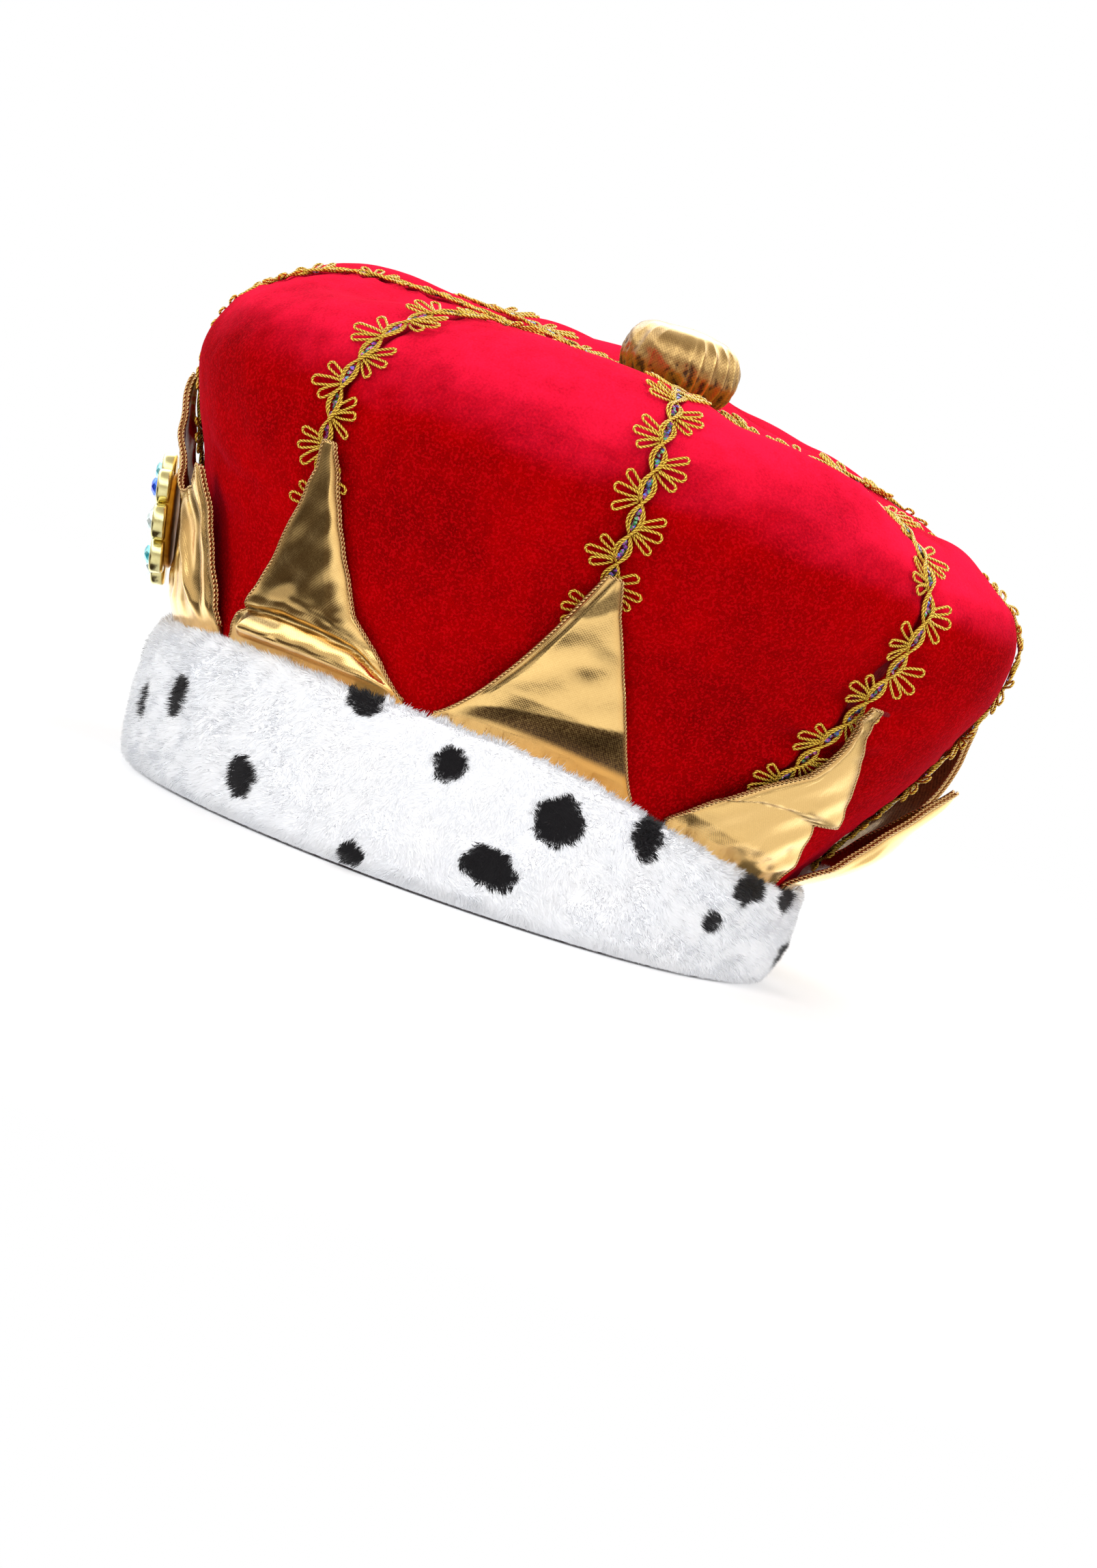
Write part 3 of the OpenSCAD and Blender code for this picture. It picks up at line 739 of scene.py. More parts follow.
def makeVelvetCap():
    settings = velvetCap
    share = np.linspace(0, 1, settings["goreColumns"] + 1)[:-1]
    share = lerp(share, 0.5 - 0.5 * np.cos(math.pi * share), settings["crowding"])
    fine = np.linspace(0, lastSection, 400)
    lengths = lengthAlong(rawSkin(np.full(400, 80.0), fine))
    sections = np.interp(np.linspace(0, lengths[-1], settings["rows"]), lengths, fine)[::-1]
    low = lerp(seamAngles[:8, 0], seamAngles[:8, 1], sections[:, None] / lastSection)[..., None]
    high = lerp(seamAngles[1:, 0], seamAngles[1:, 1], sections[:, None] / lastSection)[..., None]
    angles = lerp(low, high, share).reshape(len(sections), -1)
    grid = np.broadcast_to(sections[:, None], angles.shape)
    shares = np.tile(share, 8)[None, :]
    perDegree = degreeLength(angles, grid)
    width = ((high - low) * np.ones_like(share)).reshape(angles.shape) * perDegree
    fromSeam = np.minimum(shares, 1 - shares) * width
    sewn = smooth(0.2, 1.5, grid) * smooth(14, 13, grid)
    out, folded = velvetRelief(angles, grid, shares, np.interp(grid, fine, lengths), fromSeam, sewn)
    outer = capSkin(angles, grid, out)
    inside = np.linspace(0, lastSection, settings["insideRows"])
    insideAngles = np.stack([
        np.concatenate([lerp(seamAt(g, t), seamAt(g + 1, t), share) for g in range(8)]) for t in inside
    ])
    inner = capSkin(insideAngles, inside[:, None], -capForm["wall"])
    inner[0, :, 2] = capForm["hemLift"]
    outer[-1, :, 2] = capForm["hemLift"]
    shape = newShape()
    tints = np.zeros(outer.shape)
    # Red: painted shade along the seams
    tints[..., 0] = settings["seamShade"] * bump(fromSeam, 0, settings["seamShadeWidth"]) * sewn
    raw = rawSkin(angles, grid)
    # Green: painted sheen where the cloth faces up, with painted highlights on the folds' ridges and painted
    # shade in their valleys
    facing = skinNormal(angles, grid)[..., 2] + 0.05 * ripple(raw, 40, 7) + 0.03 * ripple(raw, 9, 8)
    bright = settings["paintedSheenShare"] * smooth(settings["paintedSheenFrom"], settings["paintedSheenTo"], facing)
    tints[..., 1] = bright + settings["paintedSheenOnRidges"] * folded * smooth(0.0, 0.3, facing)
    tints = np.clip(tints, 0, 1)
    cols = outer.shape[1]
    uv = (np.arange(len(sections) + 1) * settings["cell"][0], np.arange(cols + 1) * settings["cell"][1])
    addGrid(shape, outer, closeCols=True, flip=True, uv=uv, tint=tints)
    start = addGrid(shape, inner, closeCols=True, flip=True, finish=1)
    outerHem = (len(sections) - 1) * cols + np.arange(cols)
    innerHem = start + np.arange(cols)
    hem = np.stack([innerHem, np.roll(innerHem, -1), np.roll(outerHem, -1), outerHem], axis=-1)
    joinPoints(shape, hem, 1)
    addFan(shape, np.arange(cols), outer[0].mean(axis=0))
    addFan(shape, start + (len(inside) - 1) * cols + np.arange(cols), inner[-1].mean(axis=0), True, 1)
    piece = newPiece("velvetCap", shape, [velvet, lining], ["velvet_cap"])


makeVelvetCap()

# Plush band: a backing folded round the hem, with its pile standing on it
goldenTurn = 0.6180339887
plushBand = {
    "depth": 9.0,
    "height": 54.0,
    "wallGap": 0.4,
    "backingFoot": 0.3,
    "lockDepth": 0.9,
    "pile": 2.3,
    "creaseTop": 122.0,
    "creaseFoot": 152.0,
    "creaseSpread": 8.0,
    "creaseDepth": 3.2,
    # The outer curve: distance off the wall and height, both as shares
    "curve": [
        [0.62, 0.0], [0.93, 0.07], [1.04, 0.25], [1.06, 0.48],
        [1.02, 0.7], [0.88, 0.88], [0.62, 0.985], [0.37, 1.0],
    ],
    "curveLength": 70.0,
    "columns": 300,
    "rows": 30,
    "blades": [176000, 176000],
    "bladeLength": 3.1,
    "bladeWidth": 0.36,
    "white": (0.965, 0.965, 0.975),
    # The roots are darker and bluer than the tips, and spot pile is also darker at the root: painted shade
    # down in the pile
    "root": (0.91, 0.915, 0.935),
    "spot": (0.008, 0.007, 0.008),
    "spotTip": (0.015, 0.014, 0.015),
    # Spots, charted: angle, height, width, height of the spot, slant in degrees
    "spots": [
        [17.9, 23.4, 8, 12, 0], [31.4, 30, 12, 14, 8], [52.4, 15.4, 11.5, 14, 20], [69.7, 51.9, 14, 9, -10],
        [75.9, 5.6, 9, 8, 0], [86.7, 42.8, 11.5, 11.5, 0], [106.4, 37.2, 17.5, 17, 25],
        [98.5, 16, 19.5, 13, -8], [123, 39.9, 12, 15, 25], [149.1, 32.8, 19, 10, 15], [164, 31.8, 19, 9, 10],
        [142.4, 19.7, 10, 7, -20], [176, 12, 12, 10, 0], [190, 25, 13, 10, -15],
        [203, 10, 13, 12, 15], [214, 31, 11, 12, 0], [227, 19, 16, 12, 10],
        [239, 43, 12, 14, -20], [250, 12, 12, 10, 0], [258, 36, 16, 15, 15],
        [272, 20, 12, 14, -15], [284, 48, 13, 10, 0], [293, 30, 14, 13, 20], [304, 10, 11, 12, 0],
        [315, 39, 12, 13, -10], [327, 20, 15, 12, 10], [338, 37, 11, 10, 0], [348, 13, 12, 14, -15],
        [1, 36, 10, 11, 10],
    ],
}


def bandCurve():
    # The outer curve at even steps: distance off the wall, height as a share, and the way out of the curve
    corners = np.array(plushBand["curve"])
    mm = corners * [plushBand["depth"], plushBand["height"]]
    lengths = lengthAlong(mm)
    fine = np.linspace(0, lengths[-1], 200)
    offs = softened(np.interp(fine, lengths, mm[:, 0]), 11)
    heights = softened(np.interp(fine, lengths, corners[:, 1]), 11)
    slopeOff = np.gradient(offs)
    slopeUp = np.gradient(heights * plushBand["height"])
    size = np.hypot(slopeOff, slopeUp)
    return offs, heights, slopeUp / size, -slopeOff / size


roundedCurve = bandCurve()


def bandPlace(angle, share, inward):
    # A place on the band's outer curve, share 0 at its foot and 1 at its inner top edge
    settings = plushBand
    index = np.arange(len(roundedCurve[0]))
    place = np.clip(share, 0, 1) * index[-1]
    off, up, outOff, outUp = [np.interp(place, index, values) for values in roundedCurve]
    height = up * furTop(angle) - inward * outUp
    soft = smooth(0, 0.15, share) * smooth(1, 0.85, share)
    wave = np.sin(np.radians(angle * 36) + up * 7 + 2 * np.sin(np.radians(angle * 5)))
    lock = settings["lockDepth"] * 0.5 * soft * wave
    crease = lerp(settings["creaseFoot"], settings["creaseTop"], up)
    fold = settings["creaseDepth"] * soft * bump(turnBetween(angle, crease), 0, settings["creaseSpread"])
    off = off - inward * outOff + lock - fold
    point = offWall(angle, np.maximum(height, 0.6), off)
    point[..., 2] = np.maximum(height, 0.0)
    return point


def spotMask(angle, height):
    # How black the pile is, from 0 to 1
    total = np.zeros(np.shape(angle))
    flat = np.stack([angle * mmPerDegree, height], axis=-1)
    rough = ripple(flat, 7, 41, 8)
    fine = ripple(flat, 2.4, 42, 8)
    for middle, level, width, tall, slant in plushBand["spots"]:
        x = turnBetween(angle, middle) * mmPerDegree
        z = height - level
        c = math.cos(math.radians(slant))
        s = math.sin(math.radians(slant))
        reach = np.hypot((c * x + s * z) / (width / 2), (c * z - s * x) / (tall / 2))
        total = np.maximum(total, smooth(1.08, 0.92, reach + 0.08 * rough + 0.04 * fine))
    return total


def makePlushBand():
    settings = plushBand
    steps = settings["columns"]
    angles = np.arange(steps) * 360 / steps
    a, w = np.meshgrid(angles, np.linspace(0, 1, settings["rows"]), indexing="ij")
    outer = bandPlace(a, w, settings["pile"])
    gap = np.full(steps, settings["wallGap"])
    heights = [furTop(angles) * 0.9, furTop(angles) * 0.5, np.full(steps, 0.7)]
    inner = np.stack([offWall(angles, height, gap) for height in heights], axis=1)
    inner[:, -1, 2] = settings["backingFoot"]
    outer[:, 0, 2] = settings["backingFoot"]
    ring = np.concatenate([outer, inner], axis=1)
    # The backing takes the roots' colour: painted shade under the pile
    white = np.array(settings["root"])
    spots = spotMask(a, outer[..., 2])[..., None]
    tints = lerp(white, np.array(settings["spot"]), spots)
    tints = np.concatenate([tints, np.broadcast_to(white, inner.shape)], axis=1)
    shape = newShape()
    addGrid(shape, ring, closeRows=True, closeCols=True, tint=tints)
    piece = newPiece("plushBand", shape, [plush], ["fur_band"])
    for number, count in enumerate(settings["blades"]):
        makePile("plushPile" + "AB"[number], count, 20 + number, number)


def makePile(name, count, seed, layer):
    # Thin blades of pile, one triangle each, brushed one way or the other in locks
    settings = plushBand
    random = np.random.default_rng(seed)
    angle = (np.arange(count) * goldenTurn * 360 + random.uniform(0, 0.4, count)) % 360
    share = (np.arange(count) + random.random(count)) / count
    share = share[random.permutation(count)]
    root = bandPlace(angle, share, settings["pile"])
    side = bandPlace(angle + 0.3, share, settings["pile"]) - root
    out = unit(bandPlace(angle, share, 0.0) - root)
    side = unit(side - (side * out).sum(axis=-1, keepdims=True) * out)
    down = unit(np.cross(side, out))
    down = np.where(down[..., 2:] > 0, -down, down)
    flat = np.stack([angle * mmPerDegree, share * settings["curveLength"]], axis=-1)
    sway = 0.5 * ripple(flat, 30, 51) + 0.35 * ripple(flat, 8, 52) + 0.2 * ripple(flat, 3.5, 55)
    drop = 0.45 + 0.3 * ripple(flat, 24, 53) + 0.3 * ripple(flat, 6, 54)
    lean = (sway + random.normal(0, 0.22, count))[:, None] * side
    lean = lean + (drop + random.normal(0, 0.22, count))[:, None] * down
    length = settings["bladeLength"] * random.uniform(0.7, 1.15, count)[:, None] * (1 + 0.1 * layer)
    tip = root + unit(out + 0.75 * lean) * length
    facing = unit(side * random.normal(0, 1, (count, 1)) + down * random.normal(0, 0.6, (count, 1)))
    wide = facing * settings["bladeWidth"] * random.uniform(0.7, 1.2, count)[:, None] / 2
    points = np.stack([root - wide, root + wide, tip], axis=1)
    normal = np.cross(points[:, 1] - points[:, 0], points[:, 2] - points[:, 0])
    turned = (normal * out).sum(axis=-1) < 0
    points[turned] = points[turned][:, [1, 0, 2]]
    points[..., 2] = np.maximum(points[..., 2], 0.15)
    spots = spotMask(angle, root[:, 2]) > random.uniform(0.3, 0.7, count)
    tone = random.uniform(0.95, 1.03, count)[:, None, None]
    # Each blade is darker at its root than at its tip: painted shade down in the pile
    white = np.array([settings["root"], settings["root"], settings["white"]])
    dark = np.array([settings["spot"], settings["spot"], settings["spotTip"]]) * tone
    tints = np.where(spots[:, None, None], dark, np.minimum(white * tone, 1.0))
    normals = unit(out[:, None] + 0.22 * lean[:, None] + random.normal(0, 0.1, (count, 1, 3)))
    shape = newShape()
    faces = np.arange(3 * count).reshape(-1, 3)
    addFaces(shape, points, faces, np.zeros((3 * count, 2)), tint=tints.reshape(-1, 3))
    normals = np.broadcast_to(normals, (count, 3, 3)).reshape(-1, 3)
    pile = newPiece(name, shape, [plush], (), normals)
    pile.visible_shadow = False
    pile.visible_diffuse = False


makePlushBand()

# Gold points: double cloth turned along its edges, a row for each
goldPoint = {
    "thickness": 1.8,
    "footGap": 0.5,
    "freeSlope": 1.4,
    "tuck": 9.0,
    "turning": 4.0,
    "areaShare": 0.62,
    "tipHalf": 1.25,
    "rollShare": 0.2,
    # Soft waves: size and depth
    "waves": (16, 0.3),
    # A lined edge has a piping and a groove beside it: distance from the edge, half width and height
    "piping": [(0.9, 0.7, 0.6), (2.2, 0.55, -0.5)],
    # Painted dark lines inside the near and the far edge, painted shade in the groove beside the near edge's
    # piping and a darker band inside the far edge: distance from the edge and half width
    "nearLine": (2.1, 0.55),
    "farLine": (0.6, 2.0),
    "edgeSteps": 160,
    "beadRadius": 0.5,
    "beadSpread": 0.64,
}
# Foot, half span, half span of the hidden strip, tip, rise, off at the middle and the tip, bows, height of
# the bows, belly and flare. Lines are given as pairs of share across and rise.
# Folds: line, half width, depth (below 0 for a roll) and painted shade in the fold
# Steps: line, height of the step above it and how far it fades; each step has a painted shadow along its line
# Bands: line, height at both ends, softness below and above, and painted shade, a band of painted dark
# reflection
# Dimples: share across, rise, radius, depth and painted shade
# Edges: share of the height and degrees added to the near and far edges
# Rolls: how far the near and far edges turn in; lined: painted dark lines inside both edges
# Foot: amber at the foot, a painted warm reflection and shade, fading between two rises
# Fineness: rows and columns of the mesh; freeRise: where the cloth is fully off the cap
usualPoint = {
    "fineness": 58,
    "freeRise": 7.0,
    "steps": [],
    "bands": [],
    "edges": [[0, 0, 0], [1, 0, 0]],
    "rolls": [0.3, 0.3],
    "lined": [0.0, 0.0],
    "foot": [0.4, 8, 3],
}
pointRows = {
    "left_1": {
        "fineness": 84,
        "row": [55.5, 18.5, 20.6, 52.6, 70, 3.6, 4, -1, -7, 0.37, 0, 0],
        "folds": [
            [
                [(-0.1, 9.5), (0.07, 10.2), (0.32, 11.4), (0.62, 11), (0.86, 9.8), (0.95, 6), (1.02, 1)],
                1.0, 2.6, 0.7,
            ],
            [[(0.04, 3), (0.3, 3.4), (0.62, 3.4), (0.86, 2.6), (1.0, 1.0)], 4.6, -5.4, 0.0],
            [[(-0.3, 3.5), (0.4, 4.5)], 4.0, -1.2, 0.0],
            [[(0.35, 17.5), (0.7, 16), (0.95, 12.5), (1.1, 9.5)], 0.8, 0.5, 0.5],
            [[(-0.1, 14), (0.5, 16), (1.1, 17)], 3.0, -0.7, 0.0],
        ],
        "bands": [
            [[(0.06, 40), (0.78, 42)], 50, 46, 2, 4, 0.36],
            [[(-0.2, 7.4), (0.4, 8.2)], 3.5, 2.5, 1.5, 1.5, 0.7],
        ],
        "dimples": [[0.35, 7, 3, 0.3, 0.0]],
        "edges": [
            [0, 0, 1.5], [0.125, -0.9, 3.4], [0.215, -1.1, 3.0], [0.28, -1.2, 2.0], [0.43, -1.6, 2.3],
            [0.6, -2.3, 2.3], [0.75, -3.0, 1.9], [0.87, -3.2, 1.7], [1, -2.4, 1.8],
        ],
        "rolls": [0.3, 1.5],
        "foot": [0.75, 3.5, 1.0],
    },
    "left_2": {
        "fineness": 84,
        "row": [99.4, 18.2, 21.4, 99.3, 61, 3.6, 4, -3.5, -2.5, 0.37, 0, 0],
        "freeRise": 15.0,
        "folds": [[[(-0.1, 2), (1.1, 2)], 1.8, -0.5, 0.0]],
        "bands": [
            [[(0.02, 3.4), (0.2, 6.3), (0.5, 8), (0.75, 9.2), (1.1, 11.5)], 2.0, 12.5, 2.6, 1.0, 0.95],
            [[(-0.1, 45), (0.3, 48.5), (0.7, 53), (1.1, 56)], 3.0, 5.0, 1.5, 1.5, 0.7],
        ],
        "dimples": [[0.13, 16, 2.6, 0.3, 0.15], [0.58, 27.4, 2.6, 0.35, 0.3], [0.73, 36.6, 2.6, 0.35, 0.34]],
        "edges": [[0, 0, 0], [0.445, 0, -0.3], [0.82, 0, -1.1], [1, 0, -0.6]],
        "rolls": [0.9, 0.3],
        "lined": [0.9, 0.0],
        "foot": [0.85, 10, 4],
    },
    "left_3": {
        "fineness": 84,
        "row": [143, 17.5, 19.1, 141.8, 62, 3.6, 4.2, -6.5, -1, 0.68, 0, 0],
        "folds": [[[(-0.1, 34), (1.1, 40)], 6.0, -0.5, 0.0]],
        "steps": [[[(-0.1, 13), (0.0, 15.8), (0.18, 20.6), (0.5, 22.6), (1.1, 20.5)], 1.5, 12]],
        "bands": [[[(0.5, 23.8), (1.1, 21.8)], 0.6, 1.8, 0.6, 1.6, 0.6]],
        "dimples": [
            [0.6, 5.5, 1.8, 0.5, 0.4], [0.8, 3.6, 1.3, 0.4, 0.7], [0.85, 11, 1.6, 0.4, 0.3],
            [0.1, 8, 2.4, 0.3, 0.1], [0.45, 57, 1.8, 0.9, 0.5], [0.8, 52, 2.0, 0.7, 0.55],
            [0.9, 44, 2.0, 0.5, 0.5],
        ],
        "edges": [
            [0, 0, 0], [0.34, 0, -3.6], [0.36, 0, 1.9], [0.42, 0, 1.9], [0.55, -1.0, 0.6], [0.7, 1.2, -0.8],
            [0.8, 2.2, -1.9], [0.92, 2.4, -2.0], [1, 0.7, -1.5],
        ],
        "rolls": [0.2, 0.2],
        "lined": [0.35, 0.55],
        "foot": [0.25, 10, 4],
    },
    "back": {
        "row": [180, 13, 13.6, 180, 46, 6.5, 11.5, 0, 0, 0.4, 4.5, 0],
        "folds": [[[(-0.1, 8), (1.1, 11)], 2.5, 0.9, 0.2], [[(0.1, 16), (0.9, 22)], 5, -0.7, 0.0]],
        "dimples": [[0.5, 5, 2.5, 0.6, 0.3]],
    },
    "right_3": {
        "row": [215, 19, 20.6, 203, 63, 12, 17.5, 0, 0, 0.5, 0, 9],
        "folds": [[[(-0.1, 9), (0.9, 16)], 2.4, 1.2, 0.2], [[(0.1, 20), (0.9, 30)], 5, -0.9, 0.0]],
        "dimples": [[0.5, 6, 2.5, 0.6, 0.2], [0.3, 12, 2.2, 0.6, 0.2]],
    },
    "right_2": {
        "row": [260.6, 18.2, 21.4, 260.7, 61, 3.6, 4, -2.5, -3.5, 0.37, 0, 0],
        "freeRise": 13.0,
        "folds": [[[(-0.1, 4), (1.1, 3)], 2.5, -0.6, 0.0], [[(0.1, 24), (1.1, 19)], 5, -0.8, 0.0]],
        "bands": [[[(-0.1, 10), (0.5, 8), (0.95, 4)], 9.0, 2.5, 2.6, 1.2, 0.85]],
        "dimples": [[0.35, 26, 2.2, 0.7, 0.5], [0.6, 22, 2.0, 0.6, 0.4]],
        "rolls": [0.3, 0.9],
    },
    "right_1": {
        "row": [304.5, 18.5, 20.6, 307.4, 70, 3.6, 4, -7, -1, 0.37, 0, 0],
        "folds": [
            [[(-0.02, 1), (0.05, 6), (0.14, 9.8), (0.4, 11), (0.7, 11.4), (1.1, 9.5)], 0.9, 1.4, 0.8],
            [[(0.0, 1.5), (0.14, 4.8), (0.4, 6.2), (1.1, 5)], 3.4, -2.4, 0.0],
            [[(0.3, 26), (0.8, 50)], 5, -0.8, 0.0],
        ],
        "bands": [[[(0.25, 42), (0.95, 40)], 46, 50, 3, 4, 0.6]],
        "dimples": [[0.6, 7, 3, 0.4, 0.1], [0.4, 22, 3, 0.6, 0.3]],
        "edges": [[0, 1.5, 0], [0.3, 1.5, -0.6], [0.8, 1.2, -1.0], [1, 0.3, -0.4]],
        "rolls": [1.5, 0.3],
    },
}


def lineGap(across, rise, width, line):
    # How far a place is above a fold's line in millimetres, how fully the line is there,
    # and where along it the place is
    line = np.array(line, float)
    fine = np.linspace(line[0, 0], line[-1, 0], 121)
    level = softened(np.interp(fine, line[:, 0], line[:, 1]), 6)
    slope = np.interp(across, fine, np.gradient(level, fine)) / np.maximum(width, 4.0)
    share = (across - fine[0]) / (fine[-1] - fine[0])
    there = smooth(0.0, 0.1, share) * smooth(1.0, 0.9, share)
    return (rise - np.interp(across, fine, level)) / np.sqrt(1 + slope ** 2), there, np.clip(share, 0, 1)


def foldsAt(across, rise, width, table):
    # How far folds, steps, bands and dimples move the cloth out, and the painted shade they lay on it: in the
    # folds, along the steps, in the dimples, and bands of painted dark reflection
    out = np.zeros(across.shape)
    paintedShade = np.zeros(across.shape)
    for line, halfWidth, depth, dark in table["folds"]:
        gap, there, _ = lineGap(across, rise, width, line)
        out = out - depth * there * np.exp(-np.abs(gap / halfWidth) ** 1.6)
        paintedShade = np.maximum(paintedShade, dark * there * np.exp(-(gap / halfWidth) ** 2))
    for line, height, fade in table["steps"]:
        gap, there, _ = lineGap(across, rise, width, line)
        out = out + height * there * smooth(-0.3, 0.35, gap) * smooth(fade, 0, gap)
        paintedShade = np.maximum(paintedShade, 0.7 * there * smooth(-0.9, -0.1, gap) * smooth(0.5, 0.1, gap))
    for line, firstHeight, lastHeight, below, above, dark in table["bands"]:
        gap, there, share = lineGap(across, rise, width, line)
        half = lerp(firstHeight, lastHeight, np.sqrt(share)) / 2
        risen = smooth(-half - below * 0.4, -half + below * 0.6, gap)
        shaded = risen * smooth(half + above / 2, half - above / 2, gap)
        paintedShade = np.maximum(paintedShade, dark * there * shaded)
    for share, level, radius, depth, dark in table["dimples"]:
        reach = np.hypot((across - share) * width * 0.6, rise - level) / radius
        out = out - depth * np.exp(-reach ** 2)
        paintedShade = np.maximum(paintedShade, dark * np.exp(-(reach * 1.2) ** 2))
    return out, paintedShade


def pointPlace(table, across, up, out):
    # A place on a gold point: across from 0 to 1, up from -1 at the hidden strip's end over 0 to 1 at the tip
    settings = goldPoint
    foot, half, strip, tip, rise, midOff, tipOff, nearBow, farBow, bowAt, belly, flare = table["row"]
    edges = np.array(table["edges"])
    shown = np.maximum(up, 0)
    hidden = np.maximum(-up, 0)
    bend = sinDeg(180 * shown ** (math.log(0.5) / math.log(bowAt)))
    span = np.where(up < 0, lerp(half, strip, hidden), lerp(half, settings["tipHalf"], shown))
    low = span + nearBow * bend + np.interp(shown, edges[:, 0], edges[:, 1])
    high = span + farBow * bend + np.interp(shown, edges[:, 0], edges[:, 2])
    full = lerp(midOff, tipOff, shown ** 2)
    free = max(table["freeRise"], settings["freeSlope"] * midOff)
    off = lerp(settings["footGap"], full, np.minimum(1, shown * rise / free))
    off = off + (belly * sinDeg(180 * across) + flare * np.clip(1 - across, 0, 1) ** 1.5) * bend
    angle = lerp(foot, tip, shown) + lerp(-low, high, across)
    height = lerp(furTop(angle) - settings["tuck"] * hidden, furTop(tip) + rise, shown)
    width = (low + high) * mmPerDegree
    edge = np.minimum(across, 1 - across) * width
    free = smooth(0.0, 0.045, shown) * smooth(-0.2, 0.1, up)
    crumple, paintedShade = foldsAt(across, shown * rise, width, table)
    size, depth = settings["waves"]
    soft = depth * ripple(np.stack([across * width, shown * rise + foot], axis=-1), size, int(foot))
    roll = edgeRoll(table, across) * smooth(1.0, 0.85, shown)
    piped, lines = linedEdges(table, across * width, (1 - across) * width, shown, rise)
    crumple = (crumple + soft + piped * smooth(1.0, 0.9, shown) - roll) * free
    points = offWall(angle, height, off + settings["thickness"] / 2 + crumple + out)
    return points, width, edge, np.maximum(paintedShade, lines) * free


def edgeRoll(table, across):
    # How far both edges turn in toward the cap
    near, far = table["rolls"]
    part = goldPoint["rollShare"]
    nearRoll = near * np.clip((part - across) / part, 0, 1) ** 2
    return nearRoll + far * np.clip((across - 1 + part) / part, 0, 1) ** 2


def linedEdges(table, fromNear, fromFar, shown, rise):
    # The piping's relief along the near edge, and the painted dark lines inside both edges
    settings = goldPoint
    near, far = table["lined"]
    started = near * smooth(10, 16, shown * rise)
    piping = np.zeros(fromNear.shape)
    for middle, half, height in settings["piping"]:
        piping = piping + height * bump(fromNear, middle, half)
    nearLine = started * bump(fromNear, *settings["nearLine"])
    farLine = far * bump(fromFar, *settings["farLine"]) * smooth(0.42, 0.52, shown)
    return started * piping, np.maximum(nearLine, farLine)


def halfThickness(fromEdge):
    # The double cloth rounds off over the last millimetre before its turned edge
    rounded = np.sqrt(np.clip(1 - (1 - np.minimum(fromEdge, 1)) ** 2, 0, 1))
    return goldPoint["thickness"] / 2 * (0.35 + 0.65 * rounded)


def seamBrown(fromEdge):
    return 0.9 * bump(fromEdge, 0, 0.7)


def insideTints(brown):
    # The cloth's inside, in painted shade: dull amber and mostly the dark shade tint
    return np.stack([brown, 0.3 + 0 * brown, 0.85 + 0 * brown], axis=-1)


def makeGoldPoint(name, table):
    # A closed skin of double cloth, its face out and its inside toward the cap
    settings = goldPoint
    rise = table["row"][4]
    across = np.linspace(0, 1, table["fineness"])
    across = lerp(across, 0.5 - 0.5 * np.cos(math.pi * across), 0.5)
    up = np.concatenate([[-1.0, -0.5], np.linspace(0, 1, table["fineness"]) ** 0.95])
    w, u = np.meshgrid(up, across, indexing="ij")
    _, width, edge, paintedShade = pointPlace(table, u, w, 0.0)
    half = halfThickness(edge)
    front = pointPlace(table, u, w, half)[0]
    back = pointPlace(table, u, w, -half)[0]
    ring = np.concatenate([front, back[:, ::-1]], axis=1)
    level = np.maximum(w, 0) * rise
    places = np.stack([(u - 0.5) * width, level - settings["tuck"] * np.maximum(-w, 0)], axis=-1)
    brown = seamBrown(edge)
    # Amber: painted warm reflection and shade at the foot, and a little more within 3 mm of the edges
    share, high, low = table["foot"]
    amber = share * smooth(high, low, level) * smooth(-0.1, 0.8, u) + 0.2 * smooth(3, 1, edge)
    tints = np.stack([brown, np.minimum(amber, 1), paintedShade], axis=-1)
    shape = newShape()
    uv = np.concatenate([places, places[:, ::-1]], axis=1)
    tint = np.concatenate([tints, insideTints(brown)[:, ::-1]], axis=1)
    addGrid(shape, ring, closeCols=True, uv=uv, tint=tint)
    count = len(across)
    rows = len(up)
    first = np.arange(count - 1)
    last = 2 * count - 1 - first
    foot = np.stack([first, last, last - 1, first + 1], axis=-1)
    tip = (rows - 1) * 2 * count + np.stack([first + 1, last - 1, last, first], axis=-1)
    joinPoints(shape, foot)
    joinPoints(shape, tip)
    steps = settings["edgeSteps"]
    edgeUp = np.concatenate([np.linspace(0, 1, steps), np.linspace(1, 0, steps)])
    edgeAcross = np.concatenate([np.zeros(steps), np.ones(steps)])
    addTurnedEdge(shape, lambda out: pointPlace(table, edgeAcross, edgeUp, out)[0])
    piece = newPiece(sideName("point", name), shape, [goldCloth, rimCord], ["point_" + name])


def addTurnedEdge(shape, place):
    # Two beads of rolled cloth along the edge, with the brown seam between them
    settings = goldPoint
    for side in (-1, 1):
        path = evenly(place(side * settings["beadSpread"]), 0.95)
        ups = np.broadcast_to(unit(path.mean(axis=0) * [1, 1, 0]), path.shape)
        addCord(shape, path, ups, settings["beadRadius"], finish=1, pitch=1.5)


def addStitch(shape, path, angle):
    # A short thread that lies on the cloth, thin at both ends
    ups = np.broadcast_to(np.array([sinDeg(angle), -cosDeg(angle), 0.0]), path.shape)
    radii = np.array([0.1, 0.24, 0.24, 0.1])
    addCord(shape, path, ups, radii, 4, finish=1, pitch=0.8)


for pointName, pointTable in pointRows.items():
    makeGoldPoint(pointName, {**usualPoint, **pointTable})

